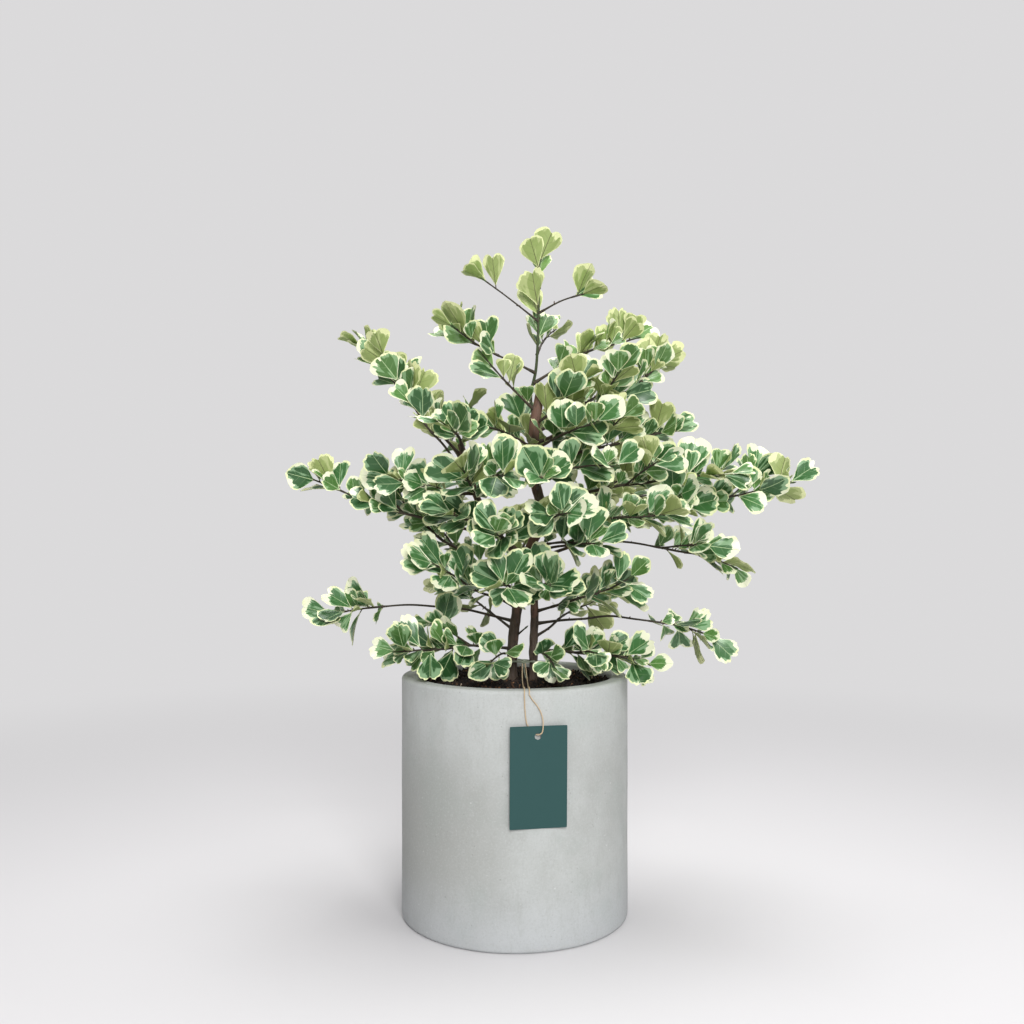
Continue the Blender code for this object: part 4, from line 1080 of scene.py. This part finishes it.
def stemLine(name, grown):
    row, form = stems[name], woodForm
    places = smoothLine(row.points, form["stemSpacing"])
    heights = [spray.height for spray, _, _ in grown if spray.carrier == name]
    thick = []
    for number, place in enumerate(places):
        share = number / (len(places) - 1)
        radius = row.footRadius + (row.topRadius - row.footRadius) * share
        swell = sum(form["stemSwell"] * math.exp(-((place.z - z) / form["stemSwellReach"]) ** 2)
                    for z in heights)
        flare = form["rootFlare"] * math.exp(-max(0.0, place.z - pot["soilTop"]) / form["flareReach"])
        thick.append(radius * (1 + min(form["mostSwell"], swell) + flare))
    end, last, ahead = places.pop(), thick.pop(), (places[-1] - places[-2]).normalized()
    for before, shape in form["cutEnd"]:
        places.append(end - ahead * before)
        thick.append(last * shape)
    return places, thick, [1.0] * len(places)


def makeStem(name, grown, tree, material):
    piece = grow(name + "_bark", linesMesh(name, [stemLine(name, grown)]), tree, {
        "Wood Material": material, "Sides": woodForm["stemSides"], "Relief": woodForm["barkRelief"],
        "Relief Scale": 210.0})
    finishPiece(piece, "bark", name)


barkColours = {
    "bud": (0.055, 0.092, 0.030), "young": (0.036, 0.029, 0.017), "old": (0.090, 0.062, 0.045),
    "red": (0.165, 0.086, 0.060), "grey": (0.150, 0.125, 0.105), "dark": (0.018, 0.013, 0.010),
}


def makeBarkMaterial():
    surface, look = Surface("stemBark", 0.72), barkColours
    place = surface.place()
    cracks = cloud(place.vector("MULTIPLY", (1.0, 1.0, 0.16)), 300.0, 0.35, 2.2)
    patches = cloud(place.vector("MULTIPLY", (1.0, 1.0, 0.4)), 62.0, 0.3, 2.4)
    age = out(painted(surface.tree, "woodAge"), "Fac")
    peeled = patches + place.parts()[2].step(0.365, 0.425, -0.06, 0.17)
    old = blend(peeled.step(0.50, 0.78), look["old"], look["red"])
    old = blend(cracks.step(0.58, 0.85, 0.0, 0.75), old, look["grey"])
    colour = blend(age.step(0.0, 1.0), look["young"], old)
    colour = blend(cracks.step(0.42, 0.22, 0.0, 0.8), colour, look["dark"])
    colour = blend(age.step(0.0, -1.0), colour, look["bud"])
    return surface.paint(colour, height=cracks, distance=0.0004)


# Pot

def arcPoints(centre, radius, start, end, steps):
    for i in range(steps + 1):
        angle = math.radians(start + (end - start) * i / steps)
        yield centre[0] + radius * math.cos(angle), centre[1] + radius * math.sin(angle)


potForm = {
    "rimSteps": 8, "footSteps": 5, "wallSteps": 26, "floor": 0.026, "wobble": 0.00035, "wobbleScale": 14.0,
    "footRing": 0.07, "belowSoil": 0.006,  # extra rings of corners
}


def makePot(material):
    inside = pot["radius"] - pot["wall"]
    edge = pot["height"] - pot["rimRound"]
    foot, rim, steps = pot["footRound"], pot["rimRound"], potForm["rimSteps"]
    profile = [(0.0, 0.0), (potForm["footRing"], 0.0)]
    profile += arcPoints((pot["radius"] - foot, foot), foot, -90, 0, potForm["footSteps"])
    for i in range(1, potForm["wallSteps"]):
        profile.append((pot["radius"], foot + (edge - foot) * i / potForm["wallSteps"]))
    profile += arcPoints((pot["radius"] - rim, edge), rim, 0, 90, steps)
    profile += arcPoints((inside + rim, edge), rim, 90, 180, steps)
    profile += [(inside, pot["soilTop"] - potForm["belowSoil"])]
    profile += [(inside, potForm["floor"]), (0.0, potForm["floor"])]
    bm = bmesh.new()
    corners = [bm.verts.new((r, 0.0, z)) for r, z in profile]
    lines = [bm.edges.new(pair) for pair in zip(corners, corners[1:])]
    bmesh.ops.spin(
        bm, geom=corners + lines, cent=(0, 0, 0), axis=(0, 0, 1), angle=math.tau, steps=pot["sides"])
    bmesh.ops.remove_doubles(bm, verts=bm.verts, dist=1e-5)
    for vertex in bm.verts:  # the cast wall isn't quite true
        reach = math.hypot(vertex.co.x, vertex.co.y)
        if reach > inside - 0.001 and vertex.co.z > 0.0005:
            wave = noise.noise(vertex.co * potForm["wobbleScale"]) - 0.4
            vertex.co.xy *= 1 + potForm["wobble"] * wave / reach
    bmesh.ops.recalc_face_normals(bm, faces=bm.faces)
    mesh = bpy.data.meshes.new("pot_shell")
    bm.to_mesh(mesh)
    bm.free()
    mesh.shade_smooth()
    mesh.set_sharp_from_angle(angle=math.radians(50))
    finishPiece(meshPiece("pot_shell", mesh, material), "concrete", "pot")


concreteColours = {
    "base": (0.415, 0.432, 0.418), "light": (0.515, 0.537, 0.528), "green": (0.350, 0.385, 0.362),
    "shade": (0.318, 0.322, 0.303), "blue": (0.470, 0.490, 0.510), "pit": (0.17, 0.17, 0.16),
    "fleck": (0.72, 0.73, 0.72),
}
paintedShadeLowLeft = {"place": (-0.11, -0.10, 0.135), "reach": 0.15, "strength": 0.62}  # painted shade: a darker patch low at the left, where less light falls


def makeConcreteMaterial():
    surface, look = Surface("castConcrete", 0.8), concreteColours
    place = surface.place()
    clouds = cloud(place, 7.0, 0.30, 2.4)
    stains = cloud(place.vector("ADD", (3.1, 1.7, 0.4)), 11.0, 0.2, 2.4)
    streaks = cloud(place.vector("MULTIPLY", (1.0, 1.0, 0.30)), 80.0, 0.5, 2.0)  # the trowel's, upright
    sand, pits = grains(place, 620.0, 130.0, 0.15)
    _, flecks = grains(place.vector("ADD", (5.0, 9.0, 2.0)), 300.0, 90.0, 0.12)
    sandy = noiseAt(place, 430.0, roughness=0.75)
    height = place.parts()[2]
    away = place.vector("SUBTRACT", paintedShadeLowLeft["place"]).vector("LENGTH")
    dark = away.step(paintedShadeLowLeft["reach"], 0.02, 0.0, paintedShadeLowLeft["strength"])
    colour = blend(0.40, blend(clouds, look["shade"], look["light"]), look["base"])
    for share, name in (
        (stains.step(0.5, 0.9, 0.0, 0.5), "green"),
        # painted shade low at the left, broken up by the clouds
        (dark.calc("MULTIPLY", clouds + 0.4, clamp=True), "shade"),
        (height.step(0.10, 0.0, 0.0, 0.6), "blue"), (height.step(0.20, 0.30, 0.0, 0.35), "light"),
        (streaks.step(0.45, 0.85, 0.0, 0.22), "shade"), (sandy.step(0.50, 0.75, 0.0, 0.45), "light"),
        (sandy.step(0.50, 0.25, 0.0, 0.40), "shade"), (pits * 0.35, "pit"), (flecks * 0.4, "fleck"),
    ):
        colour = blend(share, colour, look[name])
    return surface.paint(colour, clouds.step(0.2, 0.8, 0.86, 0.72), sand, 0.0004, 0.6)


# Soil: an uneven bed under loose crumbs and bark chips

soilForm = {
    "rings": 34, "sides": 120, "bumps": ((90, 0.0016), (25, 0.0014)), "edgeDip": 0.0012,
    "density": 88000.0, "chipKinds": 6, "chipSize": 0.0019, "smallest": 0.45, "largest": 1.5,
}


def makeSoilBed():
    radius = pot["radius"] - pot["wall"] - pot["touchGap"] - potForm["wobble"]
    points, faces = [(0.0, 0.0, pot["soilTop"])], []
    sides, rings = soilForm["sides"], soilForm["rings"]
    for ring in range(1, rings + 1):
        for side in range(sides):
            angle = math.tau * (side + 0.5 * (ring % 2)) / sides
            place = Vector((math.cos(angle), math.sin(angle), 0)) * radius * ring / rings
            lift = sum(noise.noise(place * scale) * height for scale, height in soilForm["bumps"])
            lift -= soilForm["edgeDip"] * (ring / rings) ** 6
            points.append((place.x, place.y, pot["soilTop"] + lift))
    foot, low = len(points), potForm["floor"] + pot["touchGap"]
    for side in range(sides):
        angle = math.tau * (side + 0.5 * (rings % 2)) / sides
        points.append((math.cos(angle) * radius, math.sin(angle) * radius, low))
    for side in range(sides):
        faces.append((0, 1 + side, 1 + (side + 1) % sides))
    for ring in range(1, rings + 1):
        for side in range(sides):
            a, b = 1 + (ring - 1) * sides + side, 1 + (ring - 1) * sides + (side + 1) % sides
            faces.append((a, a + sides, b + sides, b))
    faces.append(tuple(foot + side for side in reversed(range(sides))))
    return polygonMesh("soil_bed", points, faces)


def makeChips():
    home = bpy.data.collections.new("soilChips")
    draw = random.Random("chips")
    for kind in range(soilForm["chipKinds"]):
        bm = bmesh.new()
        bmesh.ops.create_icosphere(bm, subdivisions=1, radius=1.0)
        stretch = Vector((draw.uniform(0.7, 1.9), draw.uniform(0.6, 1.0), draw.uniform(0.4, 0.8)))
        for vertex in bm.verts:
            vertex.co *= draw.uniform(0.7, 1.15)
            vertex.co = Vector(a * b for a, b in zip(vertex.co, stretch))
        mesh = bpy.data.meshes.new(f"soilChip_{kind}")
        bm.to_mesh(mesh)
        bm.free()
        home.objects.link(bpy.data.objects.new(mesh.name, mesh))
    return home


def randomValue(tree, seed, low, high, kind="FLOAT"):
    first = {"FLOAT_VECTOR": 0, "FLOAT": 2, "INT": 4}[kind]  # its sockets' numbers
    inputs = {first: low, first + 1: high, "Seed": seed}
    made = addNode(tree, "FunctionNodeRandomValue", inputs, data_type=kind)
    return out(made, first // 2)


def makeSoil(material):
    tree, (bed, home, painter, density, chipSize, seed) = newNodesTree("soilCrumbs", {
        "Chips": ("Collection", None), "Soil Material": ("Material", None), "Density": ("Float", 60000.0),
        "Chip Size": ("Float", 0.002), "Seed": ("Int", 4)})
    normal = out(addNode(tree, "GeometryNodeInputNormal"))
    up = addNode(tree, "FunctionNodeCompare", {0: normal.parts()[2], 1: 0.3}, operation="GREATER_THAN")
    spots = addNode(tree, "GeometryNodeDistributePointsOnFaces", {
        "Mesh": bed, "Selection": out(up), "Density": density, "Seed": seed})
    small = randomValue(tree, 11, soilForm["smallest"], soilForm["largest"]).calc("POWER", 1.6) * chipSize
    turn = randomValue(tree, 12, (0, 0, 0), (math.tau, math.tau, math.tau), "FLOAT_VECTOR")
    strewn = pickedFrom(tree, home, out(spots, "Points"), **{
        "Instance Index": randomValue(tree, 13, 0, soilForm["chipKinds"] - 1, "INT"),
        "Rotation": out(addNode(tree, "FunctionNodeEulerToRotation", {0: turn})),
        "Scale": out(addNode(tree, "ShaderNodeCombineXYZ", {0: small, 1: small, 2: small}))})
    toned = addNode(tree, "GeometryNodeStoreNamedAttribute", {
        "Geometry": strewn, "Name": "chipTone", "Value": randomValue(tree, 14, 0.02, 1.0)},
        data_type="FLOAT", domain="INSTANCE")
    both = addNode(tree, "GeometryNodeJoinGeometry", {0: out(toned)})
    fill(tree, both, {0: bed})
    closeTree(tree, out(both), painter)
    finishPiece(grow("soil_surface", makeSoilBed(), tree, {
        "Chips": makeChips(), "Soil Material": material, "Density": soilForm["density"],
        "Chip Size": soilForm["chipSize"], "Seed": 4}), "soil", "soil")


soilColours = (
    (0.00, (0.010, 0.0070, 0.0060)), (0.45, (0.020, 0.013, 0.010)), (0.72, (0.042, 0.024, 0.016)),
    (0.90, (0.095, 0.046, 0.024)), (0.965, (0.22, 0.11, 0.055)), (0.99, (0.42, 0.33, 0.24)),
)


def makeSoilMaterial():
    surface = Surface("pottingSoil", 0.95)
    place = surface.place()
    ramp = addNode(surface.tree, "ShaderNodeValToRGB", {0: out(painted(surface.tree, "chipTone"), "Fac")})
    ramp.color_ramp.interpolation = "CONSTANT"
    for number, (share, colour) in enumerate(soilColours):
        stop = ramp.color_ramp.elements[number] if number < 2 else ramp.color_ramp.elements.new(share)
        stop.position = share
        stop.color = (*colour, 1)
    damp = cloud(place, 60.0, 0.5, 1.6).step(0.3, 0.8, 0.0, 0.6)
    crumbs, _ = grains(place, 900.0, 420.0, 0.4)
    return surface.paint(blend(damp, out(ramp), soilColours[0][1]), height=crumbs, distance=0.0006)


# Tag, its string and the tie

tag = {
    "height": 0.123, "thick": 0.0008, "bottom": 0.1505, "side": 0.0277, "lean": 0.0028,
    "holeDrop": 0.0125, "holeSide": -0.001,
}
twine = {
    "radius": 0.0008, "spacing": 0.0105, "soilBumps": 0.0012, "ringSpacing": 0.0005, "sides": 10,
    "twistLength": 0.0042, "ply": 0.20,
}
# The tie's line is the solid's: how much further out and lower it hangs at its left and its right
tie = {
    "radius": 0.0015, "height": 0.333, "slack": 0.0022, "swing": (0.0075, 0.0015),
    "droop": (0.0095, 0.0140), "strands": 3, "strandRadius": 0.00068, "apart": 0.00078, "turns": 5,
    "knot": (0.0120, -0.0104, 0.3320), "knotReach": 0.0017, "knotWave": 0.0008, "tailRadius": 0.0009,
    "tail": ((0.0120, -0.0106, 0.3310), (0.0128, -0.0114, 0.3200), (0.0148, -0.0108, 0.3102)),
}


def potFace(x, z, off):
    return Vector((x, -math.sqrt((pot["radius"] + off) ** 2 - x ** 2), z))


def tagPoint(aside, height, off):
    angle = math.asin(tag["side"] / pot["radius"])
    outward = Vector((math.sin(angle), -math.cos(angle), 0.0))
    across = Vector((math.cos(angle), math.sin(angle), 0.0))
    foot = outward * (pot["radius"] + pot["touchGap"]) + Vector((0, 0, tag["bottom"]))
    up = (Vector((0, 0, tag["height"])) + outward * tag["lean"]).normalized()
    return foot + across * aside + up * height + across.cross(up) * off


def rimCrossing(x):
    bend = pot["rimRound"] + twine["radius"] + pot["touchGap"] + 0.0004
    inside = pot["radius"] - pot["wall"]
    edge = pot["height"] - pot["rimRound"]
    rows = [(inside - 0.014, pot["soilTop"] + twine["soilBumps"] + twine["radius"] + 0.0012)]
    rows += arcPoints((inside + pot["rimRound"], edge), bend, 180, 90, 3)
    rows += arcPoints((pot["radius"] - pot["rimRound"], edge), bend, 90, 0, 3)
    return [Vector((x, -math.sqrt(r ** 2 - x ** 2), z)) for r, z in rows]


def stringLine():
    # From the knot over the rim, through the tag's hole from the front, and back to the knot
    off = twine["radius"] + pot["touchGap"]
    hole, side, thick = tag["height"] - tag["holeDrop"], tag["holeSide"], tag["thick"]
    knot = Vector(tie["knot"])
    low = pot["soilTop"] + twine["soilBumps"] + off + 0.0006
    return smoothLine((
        knot + Vector((0.0020, -0.0036, -0.0016)), (0.0156, -0.0260, 0.3170),
        (0.0166, -0.045, low), (0.0168, -0.080, low), *rimCrossing(0.0172),
        potFace(0.0212, 0.3040, off), potFace(0.0266, 0.2970, off + 0.0002),
        potFace(0.0312, 0.2885, off + 0.0014), potFace(0.0334, 0.2790, off + 0.0044),
        tagPoint(0.0042, hole + 0.0062, thick + off + 0.0004),
        tagPoint(side + 0.0022, hole + 0.0028, thick + 0.0011),
        tagPoint(side, hole + 0.0020, thick / 2), tagPoint(side - 0.0022, hole + 0.0025, -0.0009),
        tagPoint(side - 0.0064, hole + 0.0058, -off - 0.0002),
        potFace(0.0142, 0.2760, off + 0.0002), potFace(0.0120, 0.2910, off), *rimCrossing(0.0113)[::-1],
        (0.0108, -0.080, low), (0.0102, -0.045, low), (0.0098, -0.0270, 0.3170),
        knot + Vector((-0.0018, -0.0036, -0.0016)),
    ), twine["spacing"])


def ringFrames(line, closed=False):
    ahead = [(b - a).normalized() for a, b in zip(line, line[1:])]
    if closed:
        ahead.append((line[0] - line[-1]).normalized())
        ahead = [(ahead[i - 1] + ahead[i]).normalized() for i in range(len(ahead))]
    else:
        ahead = [ahead[0], *((a + b).normalized() for a, b in zip(ahead, ahead[1:])), ahead[-1]]
    side = ahead[0].orthogonal().normalized()
    for point, heading in zip(line, ahead):
        side = (side - heading * side.dot(heading)).normalized()
        yield point, side, heading.cross(side)


def twistedTube(line, radius, closed=False):
    # Two plies laid round each other: the ring's two lobes turn along the line
    points, faces = [], []
    sides = twine["sides"]
    frames = list(ringFrames(line, closed))
    for length, (point, side, over) in zip(lengthsAlong(line), frames):
        spin = math.tau * length / twine["twistLength"]
        for k in range(sides):
            angle = math.tau * k / sides
            reach = radius * (1 - twine["ply"] * (0.5 - 0.5 * math.cos(2 * (angle - spin))))
            points.append(point + (side * math.cos(angle) + over * math.sin(angle)) * reach)
    count = len(frames)
    for i in range(count if closed else count - 1):
        for k in range(sides):
            a, b = i * sides + k, i * sides + (k + 1) % sides
            c, d = ((i + 1) % count) * sides + k, ((i + 1) % count) * sides + (k + 1) % sides
            faces.append((a, b, d, c))
    if not closed:
        faces += [tuple(reversed(range(sides))), tuple((count - 1) * sides + k for k in range(sides))]
    return points, faces


def makeString(material):
    line = smoothLine(stringLine(), twine["ringSpacing"])
    points, faces = twistedTube(line, twine["radius"])
    piece = meshPiece("tag_string", polygonMesh("tag_string", points, faces), material)
    finishPiece(piece, "twine", "string")
    length = lengthsAlong(line)[-1]
    tuple(line[0])
    [tuple(point) for point in line]
    return length


def tieLine():
    circles = []
    for row in stems.values():
        wood = Wood(smoothLine(row.points, twig["stemStep"]), row.footRadius, row.topRadius)
        middle = wood.atHeight(tie["height"])
        share = wood.shares[min(range(len(wood.line)), key=lambda i: abs(wood.line[i].z - middle.z))]
        radius = row.footRadius + (row.topRadius - row.footRadius) * share
        circles.append((middle, radius + tie["radius"] + tie["slack"]))
    ring = []
    for i in range(32):
        angle = math.tau * i / 32
        heading = Vector((math.cos(angle), math.sin(angle), 0.0))
        middle, radius = max(circles, key=lambda c: c[0].dot(heading) + c[1])
        right = math.cos(angle) > 0
        aside = math.cos(angle) ** 2
        reach = radius + tie["swing"][right] * aside
        height = tie["height"] - tie["droop"][right] * aside
        ring.append(Vector((middle.x, middle.y, height)) + heading * reach)
    return ring


def knotLine():
    # A small overhand lump: a line that winds round itself on a ring
    centre = Vector(tie["knot"])
    line = []
    for i in range(90):
        t = math.tau * i / 90
        reach = tie["knotReach"] + tie["knotWave"] * math.cos(3 * t)
        line.append(centre + Vector((
            reach * math.cos(2 * t), tie["knotWave"] * 1.3 * math.sin(3 * t), reach * math.sin(2 * t))))
    return line


def makeTie(material):
    # Strands wound loosely round each other, the knot and its loose end
    ring = tieLine()
    padded = ring[-3:] + ring + ring[:3]
    fine = smoothLine(padded, 0.0006)
    first = min(range(len(fine)), key=lambda i: (fine[i] - ring[0]).length)
    last = min(range(first + 60, len(fine)), key=lambda i: (fine[i] - ring[0]).length)
    frames = list(ringFrames(fine[first:last], closed=True))
    tubes = [twistedTube(knotLine(), tie["tailRadius"], closed=True),
             twistedTube(smoothLine(tie["tail"], twine["ringSpacing"]), tie["tailRadius"])]
    for number in range(tie["strands"]):
        strand = []
        for i, (point, side, over) in enumerate(frames):
            angle = math.tau * (number / tie["strands"] + tie["turns"] * i / len(frames))
            strand.append(point + (side * math.cos(angle) + over * math.sin(angle)) * tie["apart"])
        tubes.append(twistedTube(strand, tie["strandRadius"], closed=True))
    points, faces = [], []
    for tubePoints, tubeFaces in tubes:
        faces += [tuple(index + len(points) for index in face) for face in tubeFaces]
        points += tubePoints
    piece = meshPiece("stem_tie", polygonMesh("stem_tie", points, faces), material)
    finishPiece(piece, "twine", "string_tie")


def makeTwineMaterial(name, light, dark):
    surface = Surface(name, 0.9)
    fibres = cloud(surface.place(), 900.0, 0.5, 1.8)
    return surface.paint(blend(fibres, dark, light), height=fibres, distance=0.0002)


def makeCardMaterial():
    surface = Surface("tagCard", 0.62, **{"Specular IOR Level": 0.25})
    place = surface.place()
    paper, _ = grains(place, 1500.0, 700.0, 0.2)
    colour = blend(cloud(place, 45.0, 0.5, 0.8), (0.022, 0.068, 0.066), (0.026, 0.077, 0.074))
    return surface.paint(colour, height=paper, distance=0.00012)


# Floor and lamps

studio = {
    "floorSize": 60.0, "floorColour": (0.68, 0.67, 0.68), "wallColour": (0.985, 0.975, 0.985),
    "wallStrength": 0.72, "roomStrength": 0.34, "fadeFrom": 0.3, "fadeTo": 2.3,
    "lamps": (
        ("keyLamp", (0.4, -2.9, 2.0), (0.0, 0.0, 0.45), 1.3, 90.0),
        ("fillLamp", (2.2, -1.8, 1.2), (0.0, 0.0, 0.40), 1.8, 9.0),
        ("topLamp", (0.2, 0.3, 2.6), (0.0, 0.0, 0.40), 1.4, 46.0),
    ),
}


def makeStudio():
    scene = bpy.context.scene
    scene.view_settings.view_transform = "Standard"
    scene.world = bpy.data.worlds.new("paleRoom")
    scene.world.use_nodes = True
    tree = scene.world.node_tree
    colour = (*studio["wallColour"], 1)
    room = fill(tree, tree.nodes["Background"], {"Color": colour, "Strength": studio["roomStrength"]})
    # Seen straight on, the room is a pale wall; its light on the plant is dimmer
    wall = addNode(tree, "ShaderNodeBackground", {"Color": colour, "Strength": studio["wallStrength"]})
    seen = out(addNode(tree, "ShaderNodeLightPath"), "Is Camera Ray")
    both = addNode(tree, "ShaderNodeMixShader", {0: seen, 1: out(room), 2: out(wall)})
    fill(tree, tree.nodes["World Output"], {"Surface": out(both)})
    # Far out the floor takes the room's own colour, so that it has no edge
    surface = Surface("paleFloor", 0.7, **{"Base Color": (*studio["floorColour"], 1)})
    tree = surface.tree
    far = addNode(tree, "ShaderNodeEmission", {"Color": colour, "Strength": studio["wallStrength"]})
    away = surface.place().vector("LENGTH").step(studio["fadeFrom"], studio["fadeTo"])
    both = addNode(tree, "ShaderNodeMixShader", {0: away, 1: out(surface.shader), 2: out(far)})
    fill(tree, tree.nodes["Material Output"], {"Surface": out(both)})
    half = studio["floorSize"] / 2
    corners = [(-half, -half, 0), (half, -half, 0), (half, half, 0), (-half, half, 0)]
    meshPiece("floor", polygonMesh("floor", corners, [(0, 1, 2, 3)], False), surface.material)
    for name, place, aim, size, watts in studio["lamps"]:
        data = bpy.data.lights.new(name, "AREA")
        data.size = size
        data.energy = watts
        lamp = bpy.data.objects.new(name, data)
        lamp.location = place
        lamp.rotation_euler = (Vector(aim) - Vector(place)).to_track_quat("-Z", "Y").to_euler()
        scene.collection.objects.link(lamp)


def main():
    makeCamera()
    stringTwine = makeTwineMaterial("tanTwine", (0.62, 0.49, 0.33), (0.40, 0.29, 0.17))
    length = makeString(stringTwine)
    print(f"string: {length:.3f} m")
    # The tie is the tag's tan string wound round the stems: its greyer, greener twine is painted shade under
    # the crown
    makeTie(makeTwineMaterial("greyTwine", (0.42, 0.46, 0.36), (0.24, 0.27, 0.20)))
    cadNodes["tag"].material_slots[0].material = makeCardMaterial()
    print("tag, string and tie")
    makePot(makeConcreteMaterial())
    makeSoil(makeSoilMaterial())
    print("pot and soil")
    grown = growFrame()
    bark = makeBarkMaterial()
    woodTree = makeWoodTree()
    for name in stems:
        makeStem(name, grown, woodTree, bark)
    for carrier in ("stem_main", "stem_second", "leader"):
        makeTwigs("twigs_" + carrier.removeprefix("stem_"), carrier, grown, woodTree, bark)
    print("stems and twigs")
    home, numbers = makeLeafShapes()
    leafTree = makeLeafTree(home, makeLeafMaterial())
    for spray, _, leaves in grown:
        if leaves:
            makeLeaves(spray, leaves, leafTree, numbers)
    print("leaves")
    makeStudio()


main()
